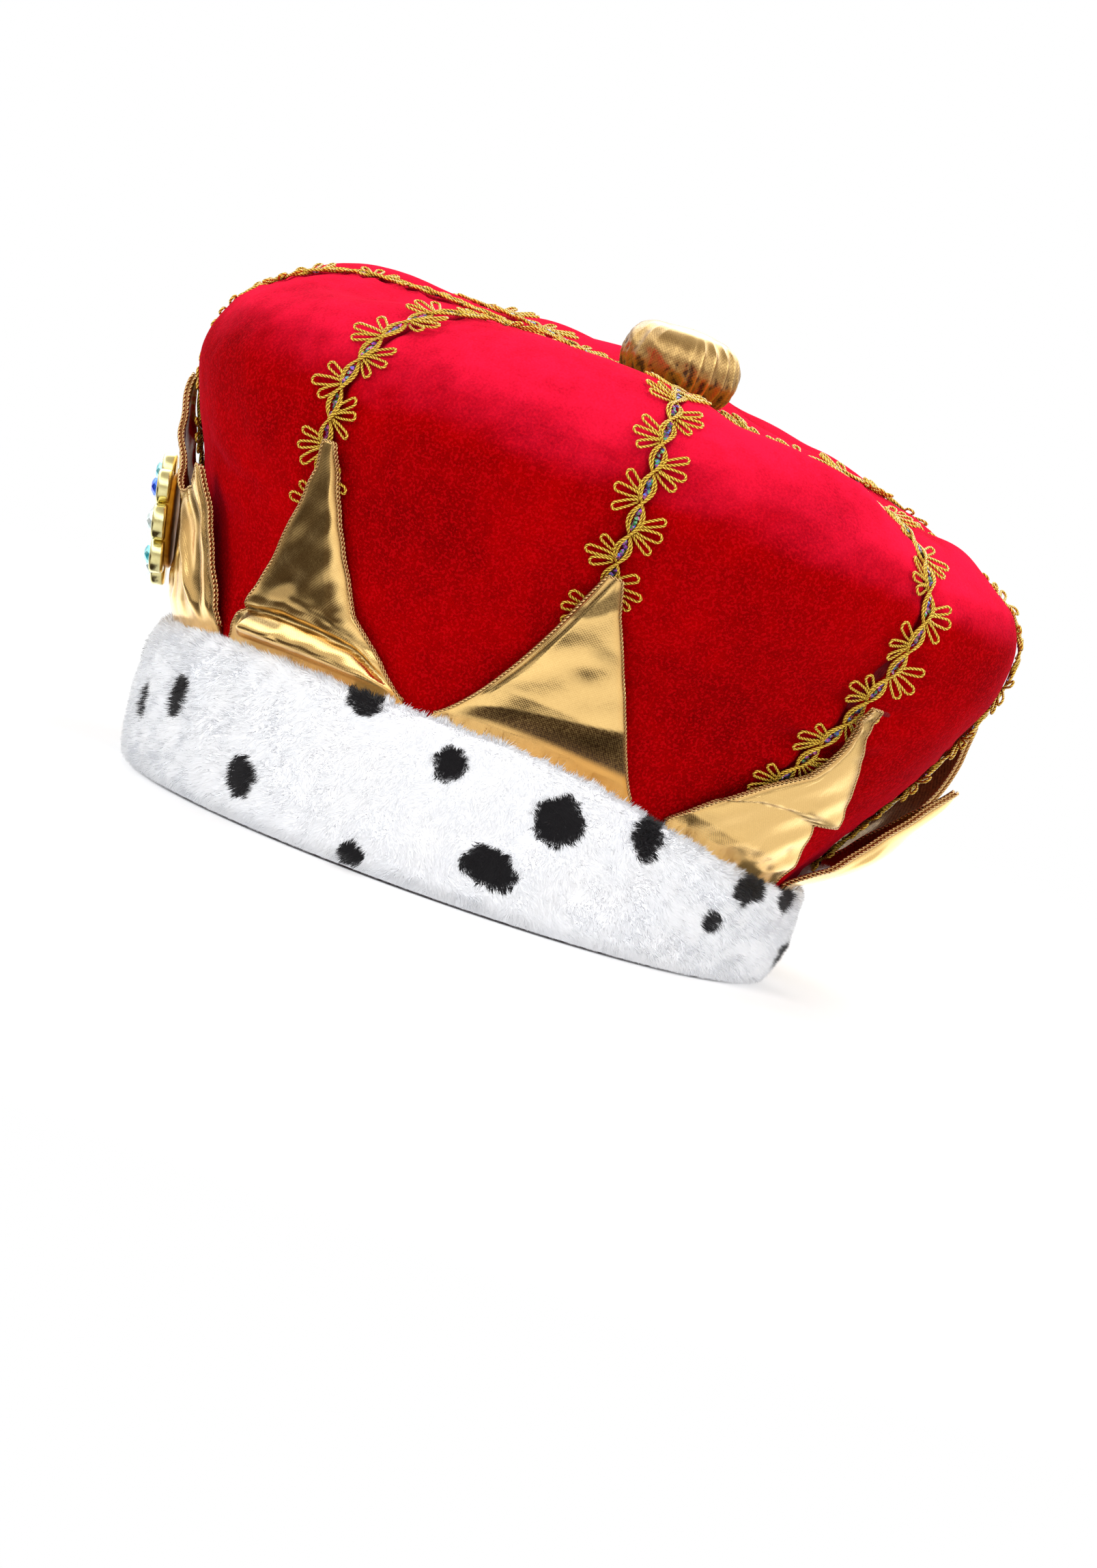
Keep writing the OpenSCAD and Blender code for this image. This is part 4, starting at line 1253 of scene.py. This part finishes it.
# Front panel: one wide cloth with a middle peak and two side peaks
frontPanel = {
    # Half of the top edge: angle and rise above the fur
    "halfEdge": [
        [0, 77.5], [1.3, 76], [5, 61], [9.6, 48], [12.8, 41], [16, 41.4], [18.8, 42.6], [20.6, 45.2],
        [21.2, 48.6], [22.3, 50.2], [23.4, 49], [24.2, 46], [25.6, 39.5], [28.4, 28], [31.2, 16], [33.6, 2],
    ],
    "perDegree": 1.9,
    "freeRise": 7.0,
    "bellyRise": 77.0,
    "tipOff": 2.7,
    "belly": 4.2,
    "cuts": 6,
    "rows": 56,
    "edgeSteps": 600,
    "stitchEvery": 3,
    "stitchLength": 2.1,
    "stitchIn": 2.3,
    "stitchOut": 0.85,
    # Standing wrinkles: angle at the foot, degrees over 10 mm of rise, half width in degrees, depth, painted
    # shade along the wrinkle
    "wrinkles": [
        [-33, 1.3, 0.9, 0.8, 0.5], [-30, 3.0, 0.9, -1.1, 0], [-25, 3.2, 1.2, 1.0, 0.4],
        [-21, 2.0, 1.3, -0.9, 0], [-14, 0.4, 1.8, 0.8, 0.2], [-7, -0.2, 2.0, -0.6, 0],
        [8, 0.2, 2.0, 0.7, 0.2], [15, -0.4, 1.2, 0.9, 0.3], [19, -0.8, 1.4, -0.7, 0],
        [22.5, -2.2, 1.5, 0.8, 0.5], [26.5, -3.2, 1.6, -2.0, 0], [29.8, -2.4, 1.0, 1.0, 0.6],
        [31.5, -1.8, 0.7, -0.5, 0], [33.0, -1.8, 0.9, 0.7, 0.6],
    ],
}


halfEdge = frontPanel["halfEdge"]
panelEdge = np.array([[-angle, rise] for angle, rise in halfEdge[:0:-1]] + halfEdge, float)


def panelTop(angle):
    return np.interp(angle, panelEdge[:, 0], panelEdge[:, 1])


def panelOff(rise):
    # How far the smooth panel stands off the cap
    settings = frontPanel
    foot = goldPoint["footGap"]
    share = np.clip(rise / settings["bellyRise"], 0, 1)
    off = foot + np.minimum(1, rise / settings["freeRise"]) * (settings["tipOff"] - foot)
    return off + settings["belly"] * np.sin(math.pi * share) ** 0.8


def panelPlace(angle, up, out):
    # A place on the panel: up from -1 at the hidden strip's end over 0 to 1 at the top edge
    rise = panelTop(angle) * np.maximum(up, 0)
    free = smooth(0, 12, rise)
    crumple = np.zeros(np.shape(rise))
    paintedShade = np.zeros(np.shape(rise))
    for middle, slant, halfWidth, depth, dark in frontPanel["wrinkles"]:
        sway = slant * rise / 10 + 0.7 * np.sin(rise / 9 + middle)
        line = np.exp(-((angle - middle - sway) / halfWidth) ** 2) * free
        crumple = crumple - depth * line
        paintedShade = np.maximum(paintedShade, dark * line)
    flat = np.stack([angle * frontPanel["perDegree"], rise], axis=-1)
    crumple = crumple + 0.4 * ripple(flat, 18, 61) * free
    crumple = crumple * smooth(0, 5, np.abs(angle))
    height = furTop(angle) + rise - goldPoint["tuck"] * np.maximum(-up, 0)
    off = panelOff(rise) + goldPoint["thickness"] / 2
    return offWall(angle, height, off + crumple + out), rise, paintedShade


def makeFrontPanel():
    # Two faces joined round their border, with the turned edge and the stitches
    settings = frontPanel
    last = len(panelEdge) - 1
    cuts = np.linspace(0, last, last * settings["cuts"] + 1)
    angles = np.interp(cuts, np.arange(last + 1), panelEdge[:, 0])
    up = np.concatenate([[-1.0, -0.5], np.linspace(0, 1, settings["rows"])])
    w, a = np.meshgrid(up, angles, indexing="ij")
    _, rise, paintedShade = panelPlace(a, w, 0.0)
    slopes = np.gradient(panelTop(angles)) / np.gradient(angles * settings["perDegree"])
    fromEdge = (1 - np.maximum(w, 0)) * panelTop(a) / np.sqrt(1 + slopes ** 2)
    half = halfThickness(fromEdge)
    front = panelPlace(a, w, half)[0]
    back = panelPlace(a, w, -half)[0]
    hidden = goldPoint["tuck"] * np.maximum(-w, 0)
    flat = np.stack([a * settings["perDegree"], rise - hidden], axis=-1)
    brown = seamBrown(fromEdge)
    # Amber varies over the panel; blue is the painted shade along the wrinkles
    tints = np.stack([brown, 0.2 + 0.15 * ripple(flat, 11, 62), paintedShade], axis=-1).clip(0, 1)
    shape = newShape()
    addGrid(shape, front, uv=flat, tint=tints)
    addGrid(shape, back, flip=True, uv=flat, tint=insideTints(brown))
    rows, cols = a.shape
    backStart = rows * cols
    border = np.concatenate([
        np.arange(cols), np.arange(1, rows) * cols + cols - 1,
        (rows - 1) * cols + np.arange(cols - 2, -1, -1), np.arange(rows - 2, 0, -1) * cols,
    ])
    after = np.roll(border, -1)
    joinPoints(shape, np.stack([border, border + backStart, after + backStart, after], axis=-1))
    steps = settings["edgeSteps"]
    fine = np.interp(np.linspace(0, last, steps), np.arange(last + 1), panelEdge[:, 0])
    addTurnedEdge(shape, lambda out: panelPlace(fine, np.ones(steps), out)[0])
    addStitches(shape, fine, angles, slopes)
    piece = newPiece("frontPanel", shape, [goldCloth, rimCord], ["front_point"])


def addStitches(shape, fine, angles, slopes):
    # A row of stitches along the panel's top edge, a little inside it
    settings = frontPanel
    topLine = evenly(np.stack([fine * settings["perDegree"], panelTop(fine)], axis=-1), 1.0)
    for start in range(3, len(topLine) - 6, settings["stitchEvery"]):
        part = np.linspace(start, start + settings["stitchLength"], 4)
        angle = np.interp(part, np.arange(len(topLine)), topLine[:, 0]) / settings["perDegree"]
        slope = np.interp(angle, angles, slopes)
        share = 1 - settings["stitchIn"] * np.sqrt(1 + slope ** 2) / panelTop(angle)
        if share.min() > 0.3:
            addStitch(shape, panelPlace(angle, share, settings["stitchOut"])[0], angle.mean())


makeFrontPanel()

# Gimp braid: a chain of eyes with fans of three loops to each side, and sequins in the eyes
gimp = {
    "width": 21.0,
    "foot": 8.0,
    "lastSection": 13.6,
    "off": 0.8,
    "eyePitch": 10.3,
    "eyeHalf": 2.5,
    "innerShare": 0.6,
    "cordRadius": 0.46,
    "innerRadius": 0.4,
    "innerLift": 0.25,
    "plyPitch": 1.35,
    # Loops of a fan: length, half width, turn in degrees and shift along the chain
    "loops": [[8.0, 1.2, -33, -1.5], [9.6, 1.3, -3, 0.0], [8.4, 1.2, 27, 1.6]],
    "loopFoot": 1.3,
    "endLoops": 6,
    "threads": 2,
    "threadRadius": 0.17,
    "sequinRadius": 1.15,
    "sequinsInEye": (-2.6, -0.9, 0.9, 2.6),
    "shades": [
        (0.16, 0.01, 0.30), (0.01, 0.20, 0.07), (0.02, 0.07, 0.38), (0.35, 0.02, 0.22), (0.02, 0.02, 0.03),
    ],
}
braidNames = ["front", "left_1", "left_2", "left_3", "back", "right_3", "right_2", "right_1"]


def loopLine(length, half):
    # A narrow U of cord: how far out it is and how far aside
    straight = length - half
    turns = np.linspace(-90, 90, 9)
    far = np.concatenate([[0.0, 0.45 * straight], straight + half * cosDeg(turns), [0.45 * straight, 0.0]])
    aside = np.concatenate([[-0.3, -0.85], sinDeg(turns), [0.85, 0.3]]) * half
    return far, aside


def makeBraid(name, seam):
    settings = gimp
    random = np.random.default_rng(70 + seam)
    base = seamAngles[seam, 0]
    first = float(sectionAt(np.array([base]), furTop(np.array([base])) + settings["foot"])[0])
    fine = np.linspace(first, settings["lastSection"], 300)
    lengths = lengthAlong(capSkin(seamAt(seam, fine), fine, 0.8))

    def place(along, across, lift):
        section = np.interp(along, lengths, fine)
        angle = seamAt(seam, section)
        before = seamAt(seam - 1, section) if seam else seamAt(7, section) - 360
        spare = 0.45 * np.minimum(angle - before, seamAt(seam + 1, section) - angle)
        perDegree = degreeLength(angle, section)
        half = np.minimum(settings["width"] / 2 / perDegree, spare)
        turned = angle + across / (settings["width"] / 2) * half
        return capSkin(turned, section, settings["off"] + lift), skinNormal(turned, section)

    shape = newShape()
    total = lengths[-1]
    along = np.linspace(0.5, total, int(total / 0.9))
    wave = math.pi * along / settings["eyePitch"]
    cords = [
        (settings["eyeHalf"], settings["cordRadius"], 0.0),
        (settings["eyeHalf"] * settings["innerShare"], settings["innerRadius"], settings["innerLift"]),
    ]
    for side in (-1, 1):
        for half, radius, rise in cords:
            path, ups = place(along, side * half * np.sin(wave), 0.7 + rise + 0.45 * side * np.cos(wave))
            addCord(shape, path, ups, radius, pitch=settings["plyPitch"])
    fans = np.arange(2.0, total - 4, settings["eyePitch"])
    for number, middle in enumerate(fans):
        side = 1 if number % 2 else -1
        lifted = random.uniform(0.2, 1.4)
        tilt = random.uniform(-8, 12)
        for length, half, turn, shift in settings["loops"]:
            size = length * random.uniform(0.86, 1.08)
            turn = math.radians(turn + tilt + random.uniform(-6, 6))
            far, aside = loopLine(size, half * random.uniform(0.85, 1.15))
            share = far / size
            across = side * (settings["loopFoot"] + far * math.cos(turn) - aside * math.sin(turn))
            slide = middle + shift + far * math.sin(turn) + aside * math.cos(turn)
            lift = 0.45 + 0.3 * np.sign(aside) * (1 - share) + lifted * share ** 2
            addLoop(shape, place, np.clip(slide, 0.3, total), across, lift)
    eyes = np.arange(settings["eyePitch"] / 2, total - 3, settings["eyePitch"])
    for middle in eyes:
        for shift in settings["sequinsInEye"]:
            addSequin(shape, place, middle + shift, random)
    addTangle(shape, place, total, random)
    newPiece(sideName("braid", name), shape, [braidCord, sequinFilm], ["braid_" + name])


def addLoop(shape, place, along, across, lift):
    # A loop of cord that lies flat on the braid
    path, ups = place(along, across, lift)
    path = evenly(path, 0.8)
    up = np.broadcast_to(ups.mean(axis=0), path.shape)
    addCord(shape, path, up, gimp["cordRadius"], pitch=gimp["plyPitch"])


def addTangle(shape, place, total, random):
    # The braids' ends crowd together at the knob's foot: loose loops and thin curled threads
    settings = gimp
    for number in range(settings["endLoops"]):
        side = 1 if number % 2 else -1
        far, aside = loopLine(random.uniform(6.0, 9.0), 1.15)
        turn = math.radians(random.uniform(-15, 60))
        slide = total - 4.5 - 1.7 * number + far * math.sin(turn) + aside * math.cos(turn)
        across = side * (0.6 + far * math.cos(turn) - aside * math.sin(turn))
        lift = 1.2 + 0.35 * number + 0.12 * far
        addLoop(shape, place, np.clip(slide, 0.3, total), across, lift)
    pace = np.linspace(0, 1, 90)
    for number in range(settings["threads"]):
        beat = random.uniform(2.5, 4.5)
        slide = total - 3 - 9 * pace + 1.6 * np.sin(2 * math.pi * beat * pace + number)
        across = random.uniform(-2, 2) + 2.6 * np.cos(2 * math.pi * beat * pace + number)
        lift = 2.2 + 0.5 * np.sin(9 * pace + number)
        path, ups = place(np.clip(slide, 0.3, total), across, lift)
        addCord(shape, path, ups, settings["threadRadius"], 4, pitch=3.0)


def addSequin(shape, place, along, random):
    # A small faceted disc, each facet in a colour of its own
    settings = gimp
    middle, up = place(np.array([along]), np.array([random.uniform(-0.5, 0.5)]), np.array([0.8]))
    middle, up = middle[0], unit(up[0] + random.normal(0, 0.3, 3))
    side = unit(np.cross(up, [0.3, 0.2, 0.9]))
    over = np.cross(up, side)
    turns = np.arange(8) * math.pi / 4 + random.uniform(0, 1)
    ring = middle + settings["sequinRadius"] * (np.cos(turns)[:, None] * side + np.sin(turns)[:, None] * over)
    points, faces, tints = [], [], []
    for k in range(8):
        points += [ring[k], ring[(k + 1) % 8], middle + 0.45 * up]
        faces.append([3 * k, 3 * k + 1, 3 * k + 2])
        tints += [settings["shades"][random.integers(len(settings["shades"]))]] * 3
    addFaces(shape, np.array(points), np.array(faces), np.zeros((24, 2)), 1, np.array(tints), False)


for braidSeam, braidName in enumerate(braidNames):
    makeBraid(braidName, braidSeam)

# Knob: a stuffed drum of the gold cloth, pleated down its side
stuffedKnob = {
    "diameter": 40.5,
    "height": 25.0,
    "footRadius": 11.5,
    "topRadius": 10.5,
    "topRise": 1.2,
    "gap": 0.3,
    "columns": 260,
    "step": 0.7,
    "roundAbout": 127.0,
    "pleats": 23,
    "pleatDepth": 0.85,
    "crinkle": 0.11,
    "dents": 0.34,
}


def onSeat(points):
    # From the knob's own axis to the frame
    lean = Matrix.Rotation(math.radians(-capForm["knobLean"]), 3, "X")
    turned = points @ np.array(lean).T
    return turned + [0, capForm["knobBack"], capForm["seatHeight"]]


def knobOutline():
    # From the middle of the foot, round the two edges, to the middle of the top
    settings = stuffedKnob
    footX = settings["diameter"] / 2 - settings["footRadius"]
    topX = settings["diameter"] / 2 - settings["topRadius"]
    topZ = settings["height"] - settings["topRise"] - settings["topRadius"]
    outline = [[0.3, 0.0], [footX * 0.6, 0.0]]
    outline += [[footX + settings["footRadius"] * cosDeg(a), settings["footRadius"] * (1 + sinDeg(a))]
                for a in np.arange(-90, 1, 7.5)]
    outline += [[topX + settings["topRadius"] * cosDeg(a), topZ + settings["topRadius"] * sinDeg(a)]
                for a in np.arange(7.5, 91, 7.5)]
    for share in (0.8, 0.55, 0.3, 0.1, 0.01):
        outline.append([topX * share, settings["height"] - settings["topRise"] * share ** 2])
    return evenly(np.array(outline, float), settings["step"])


def makeKnob():
    # The outline turned round the axis, then pleated, dented and crinkled
    settings = stuffedKnob
    profile = knobOutline()
    turns = np.arange(settings["columns"]) * 360 / settings["columns"]
    r = profile[:, :1]
    z = profile[:, 1:] + settings["gap"]
    angle = turns[None, :]
    side = smooth(0.35, 0.8, r / (settings["diameter"] / 2)) * np.ones_like(angle)
    phase = np.radians(angle * settings["pleats"]) + 1.2 * np.sin(np.radians(angle * 3))
    phase = phase + 0.8 * np.sin(np.radians(angle * 7))
    strong = 0.3 + 0.7 * smooth(-0.5, 0.6, -cosDeg(angle)) + 0.8 * smooth(9, 2, z)
    push = settings["pleatDepth"] * strong * side * (1 - np.abs(np.sin(phase / 2)) ** 0.7 * 1.6)
    fade = smooth(settings["height"], settings["height"] - 6, z)
    push = push * fade - 0.5
    points = np.stack([(r + push) * sinDeg(angle), -(r + push) * cosDeg(angle), z + 0 * angle], axis=-1)
    soft = ripple(points, 22, 81)
    crinkled = settings["crinkle"] * ripple(points * [1, 1, 0.7], 2.4, 82, 10) * side
    crinkled = crinkled * smooth(19, 9, z + 2 * soft)
    dented = settings["dents"] * ripple(points, 11, 83, 5) * side * fade
    points = points * (1 + 0.012 * soft[..., None] + (crinkled + dented)[..., None] / 20)
    points[..., 2] = np.clip(points[..., 2], 0.2, None)
    shape = newShape()
    columns = np.arange(settings["columns"] + 1)
    uv = (
        np.arange(len(profile) + 1) * settings["step"],
        columns * settings["roundAbout"] / settings["columns"],
    )
    # Painted shade and reflection: amber on the lower half and in the creases, and the dark shade tint in the
    # creases, in the sunken crinkles and over the top
    creased = np.clip(0.6 - push / settings["pleatDepth"], 0, 1) * side * fade
    amber = np.clip(0.95 * smooth(15, 7, z + 1.5 * soft) + 0.3 * creased, 0, 1)
    sunken = smooth(0.0, -0.14, crinkled)
    paintedShade = np.clip(0.6 * creased + 0.2 * smooth(18, 24, z) + 0.6 * sunken, 0, 1)
    addGrid(shape, onSeat(points), closeCols=True, uv=uv, tint=np.stack([0 * amber, amber, paintedShade], axis=-1))
    addFan(shape, np.arange(settings["columns"]), onSeat(points[0].mean(axis=0)), True)
    addFan(shape, (len(profile) - 1) * settings["columns"] + np.arange(settings["columns"]),
           onSeat(points[-1].mean(axis=0)))
    piece = newPiece("knob", shape, [knobCloth], ["knob"])


makeKnob()

# Brooch: nine cups on a back plate, with a cut stone in each
brooch = {
    "orbit": 15.6,
    "petal": 12.0,
    "centre": 15.0,
    "thickness": 6.0,
    "lean": 13.0,
    "gap": 1.1,
    "rise": 30.0,
    "skirt": 1.5,
    "centreSkirt": 0.5,
    "webDrop": 1.5,
    "stoneDepth": 2.6,
    "petalStone": 8.0,
    "centreStone": 10.5,
    "girdle": 1.2,
}


def onBrooch(points):
    # From the brooch's own plane to the frame, in front of the panel's outer face
    height = bandTop["front"] + brooch["rise"]
    off = panelOff(brooch["rise"]) + goldPoint["thickness"]
    face = offWall(np.array([0.0]), np.array([height]), np.array([off]))[0]
    turned = points @ np.array(Matrix.Rotation(math.radians(90 + brooch["lean"]), 3, "X")).T
    return turned + face - [0, brooch["gap"], 0]


def roundRing(centre, radius, height, turns):
    across = centre[0] + radius * np.cos(turns)
    up = centre[1] + radius * np.sin(turns)
    return np.stack([across, up, height + 0 * turns], axis=-1)


def addLathe(shape, profile, centre, steps=44, finish=0):
    turns = 2 * math.pi * np.arange(steps) / steps
    r, z = np.array(profile, float).T
    ring = roundRing(centre, r[:, None], z[:, None], turns)
    start = addGrid(shape, onBrooch(ring), closeCols=True, finish=finish)
    addFan(shape, start + np.arange(steps), onBrooch(ring[0].mean(axis=0)), True, finish)
    last = start + (len(r) - 1) * steps + np.arange(steps)
    addFan(shape, last, onBrooch(ring[-1].mean(axis=0)), False, finish)


def cupProfile(diameter, stone, foot):
    # From the middle of the foot out, up the wall, over the rounded rim and down into the pocket
    outer = diameter / 2
    hole = stone / 2 + 0.05
    top = brooch["thickness"]
    floor = top - brooch["stoneDepth"]
    return [
        [0.4, foot], [outer - 0.7, foot], [outer - 0.15, foot + 0.35], [outer, foot + 0.9],
        [outer, top - 1.1], [outer - 0.12, top - 0.55], [outer - 0.4, top - 0.18], [outer - 0.8, top],
        [hole + 0.55, top], [hole + 0.2, top - 0.18], [hole, top - 0.6], [hole, floor], [0.3, floor],
    ]


def petalCentres():
    turns = np.radians(45.0 * np.arange(8) - 45)
    return np.stack([brooch["orbit"] * np.cos(turns), brooch["orbit"] * np.sin(turns)], axis=-1)


def makeBrooch():
    settings = brooch
    shape = newShape()
    web = settings["thickness"] - settings["webDrop"]
    orbit = settings["orbit"]
    plate = [[0.4, 0], [orbit - 0.8, 0], [orbit, 0.5], [orbit, web - 0.8], [orbit - 0.3, web - 0.25],
             [orbit - 0.9, web], [0.4, web]]
    addLathe(shape, plate, (0, 0), 60, 1)
    middleCup = cupProfile(settings["centre"], settings["centreStone"], settings["centreSkirt"])
    addLathe(shape, middleCup, (0, 0), 52)
    petalCup = cupProfile(settings["petal"], settings["petalStone"], settings["skirt"])
    for centre in petalCentres():
        addLathe(shape, petalCup, centre)
    newPiece("broochSetting", shape, [settingGold, amberGold], ["brooch_setting"])
    makeCutStone("centreStone", (0, 0), settings["centreStone"], 2.6, "clear_stone", "centre_stone")
    slots = ["aqua_stone", "clear_stone", "blue_stone"]
    for number, centre in enumerate(petalCentres()):
        makeCutStone("petalStone%d" % (number + 1), centre, settings["petalStone"], 2.0, slots[number % 3],
                     "petal_stone_%d" % (number + 1))


def makeCutStone(name, centre, diameter, rise, slot, node):
    # Rows of corners from the culet to the table, and the facets between them
    radius = diameter / 2 - 0.1
    foot = brooch["thickness"] - brooch["stoneDepth"] + 0.1
    girdle = foot + 2 * brooch["girdle"]
    rows = [
        (0.7 * radius, foot, 0.0), (radius, foot + brooch["girdle"], 0.0), (radius, girdle, 0.0),
        (0.8 * radius, girdle + 0.58 * rise, 22.5), (0.5 * radius, girdle + rise, 0.0),
    ]
    rings = []
    for r, z, turn in rows:
        turns = np.radians(np.arange(8) * 45.0 + turn)
        rings.append(roundRing(centre, r, z, turns))
    points, faces = [], []

    def facet(*corners):
        faces.append((len(points), len(corners)))
        points.extend(corners)

    for k in range(8):
        n = (k + 1) % 8
        facet(rings[0][k], rings[0][n], rings[1][n], rings[1][k])
        facet(rings[1][k], rings[1][n], rings[2][n], rings[2][k])
        facet(rings[2][k], rings[2][n], rings[3][k])
        facet(rings[2][n], rings[3][n], rings[3][k])
        facet(rings[3][k], rings[3][n], rings[4][n])
        facet(rings[3][k], rings[4][n], rings[4][k])
    facet(*rings[4])
    facet(*rings[0][::-1])
    placed = onBrooch(np.array(points))
    shape = newShape()
    shape["points"].append(placed)
    shape["tints"].append(np.zeros((len(placed), 3)))
    shape["count"] = len(placed)
    for start, size in faces:
        shape["faces"].append(np.arange(start, start + size)[None])
        shape["uvs"].append(np.zeros((size, 2)))
        shape["finishes"].append(np.zeros(1, int))
        shape["smooths"].append(np.full(1, False))
    newPiece(name, shape, [stoneLooks[slot]], [node])


makeBrooch()

# Stage: a pale floor that fades out, soft studio light, and the camera
stage = {
    "floorRadius": 1.6,
    "floorClear": 0.22,
    "floorFaded": 0.75,
    "floorDrop": 0.0006,
    "cameraAt": (2.2996, 0.040, 0.258),
    "cameraTo": (0.0, 0.0242, 0.038),
    "roll": 19.5,
    "lens": 162.28,
    # Soft lights: place, size and power
    "lightsTo": (0, 0, 0.1),
    "lights": [
        ("keyLight", (1.7, -0.9, 1.2), (0.8, 0.8), 10),
        ("fillLight", (1.9, 1.3, 0.7), (0.7, 1.0), 8),
        ("frontLight", (0.7, -2.0, 0.6), (0.8, 0.8), 12),
        ("backLight", (0.7, 2.0, 0.6), (0.8, 0.8), 10),
        ("topLight", (0.1, 0.5, 1.8), (1.0, 1.0), 11),
        ("farLight", (-1.6, -0.6, 1.0), (0.8, 0.8), 7),
    ],
    # Levels against height and depth, from 0 straight down and at the front to 1 straight up and at the back
    "evenLight": [(0.0, 0.62), (0.45, 0.86), (0.6, 0.95), (0.8, 1.0), (1.0, 1.05)],
    "mirroredHeights": [
        (0.0, 0.05), (0.04, 0.07), (0.10, 1.05), (0.28, 1.2), (0.43, 1.0), (0.50, 0.7), (0.55, 0.55),
        (0.60, 0.8), (0.66, 1.7), (0.77, 2.4), (0.88, 1.6), (0.94, 0.75), (1.0, 0.65),
    ],
    "mirroredBehind": (1.4, 1.43, 1.47),
    "mirroredDepths": [(0.0, 0.05), (0.14, 0.09), (0.30, 1.0), (0.8, 0.85), (1.0, 0.72)],
}


def makeStage():
    floorMaterial, tree, shader = newMaterial(
        "paleFloor", {"Base Color": colour(0.8, 0.8, 0.8), "Roughness": 0.75, "Specular IOR Level": 0.2}
    )
    reach = addNode(tree, "VectorMath", {0: objectPlace(tree)}, operation="LENGTH").outputs["Value"]
    fade = addNode(tree, "MapRange", {
        "Value": reach, "From Min": stage["floorClear"], "From Max": stage["floorFaded"],
        "To Min": 1.0, "To Max": 0.0,
    }, interpolation_type="SMOOTHSTEP")
    link(tree, fade.outputs[0], shader, "Alpha")
    bpy.ops.mesh.primitive_circle_add(vertices=128, radius=stage["floorRadius"], fill_type="NGON",
                                      location=(0, 0, -stage["floorDrop"]))
    floor = bpy.context.object
    floor.name = "paleFloor"
    floor.data.materials.append(floorMaterial)
    floor.visible_glossy = False


def rampNode(tree, value, stops, warmth=0.0):
    ramp = addNode(tree, "ValToRGB", {0: value})
    while len(ramp.color_ramp.elements) < len(stops):
        ramp.color_ramp.elements.new(0.5)
    for element, (where, level) in zip(ramp.color_ramp.elements, stops):
        element.position = where
        element.color = colour(level, level ** (1 + warmth), level ** (1 + 2 * warmth))
    return ramp.outputs["Color"]


def makeWorld():
    # The studio round the crown: white to the camera, even on cloth, and with darker sides in the gold
    world = bpy.data.worlds.new("studio")
    bpy.context.scene.world = world
    world.use_nodes = True
    tree = world.node_tree
    background = tree.nodes["Background"]
    way = addNode(tree, "TexCoord").outputs["Generated"]
    parts = addNode(tree, "SeparateXYZ", {0: way}).outputs
    lift = maths(tree, "MULTIPLY_ADD", parts[2], 0.5, 0.5)
    even = rampNode(tree, lift, stage["evenLight"])
    mirrored = rampNode(tree, lift, stage["mirroredHeights"], 0.11)
    depth = maths(tree, "MULTIPLY_ADD", parts[1], 0.5, 0.5)
    dimmed = rampNode(tree, depth, stage["mirroredDepths"], 0.11)
    above = addNode(tree, "MapRange", {"Value": parts[2], "From Min": -0.3, "From Max": -0.02}).outputs[0]
    dimmed = mixColour(tree, above, dimmed, colour(1, 1, 1))
    behind = addNode(tree, "MapRange", {"Value": parts[0], "From Min": -0.2, "From Max": -0.6}).outputs[0]
    dimmed = mixColour(tree, behind, dimmed, colour(*stage["mirroredBehind"]))
    mirrored = mixColour(tree, 1.0, mirrored, dimmed, "MULTIPLY")
    rays = addNode(tree, "LightPath").outputs
    light = mixColour(tree, rays["Is Glossy Ray"], even, mirrored)
    shown = mixColour(tree, rays["Is Camera Ray"], light, colour(1.0, 1.0, 1.0))
    tree.links.new(shown, background.inputs["Color"])


def addLight(name, at, size, power):
    data = bpy.data.lights.new(name, "AREA")
    data.shape = "RECTANGLE"
    data.size, data.size_y = size
    data.energy = power
    lamp = bpy.data.objects.new(name, data)
    lamp.location = at
    way = Vector(stage["lightsTo"]) - Vector(at)
    lamp.rotation_euler = way.to_track_quat("-Z", "Y").to_euler()
    lamp.visible_glossy = False
    bpy.context.scene.collection.objects.link(lamp)


def makeCamera():
    data = bpy.data.cameras.new("photoView")
    data.sensor_fit = "VERTICAL"
    data.sensor_height = 36.0
    data.lens = stage["lens"]
    data.clip_start = 0.05
    data.clip_end = 30
    camera = bpy.data.objects.new("photoView", data)
    at = Vector(stage["cameraAt"])
    ahead = (Vector(stage["cameraTo"]) - at).normalized()
    right = ahead.cross(Vector((0, 0, 1))).normalized()
    up = right.cross(ahead)
    c = math.cos(math.radians(stage["roll"]))
    s = math.sin(math.radians(stage["roll"]))
    x = right * c + up * s
    y = up * c - right * s
    turn = Matrix((x, y, -ahead)).transposed()
    camera.matrix_world = Matrix.Translation(at) @ turn.to_4x4()
    bpy.context.scene.collection.objects.link(camera)
    bpy.context.scene.camera = camera


makeStage()
makeWorld()
for lightName, lightAt, lightSize, lightPower in stage["lights"]:
    addLight(lightName, lightAt, lightSize, lightPower)
makeCamera()
bpy.context.scene.view_settings.view_transform = "Standard"
print("stage and lights made")

bpy.context.view_layer.update()
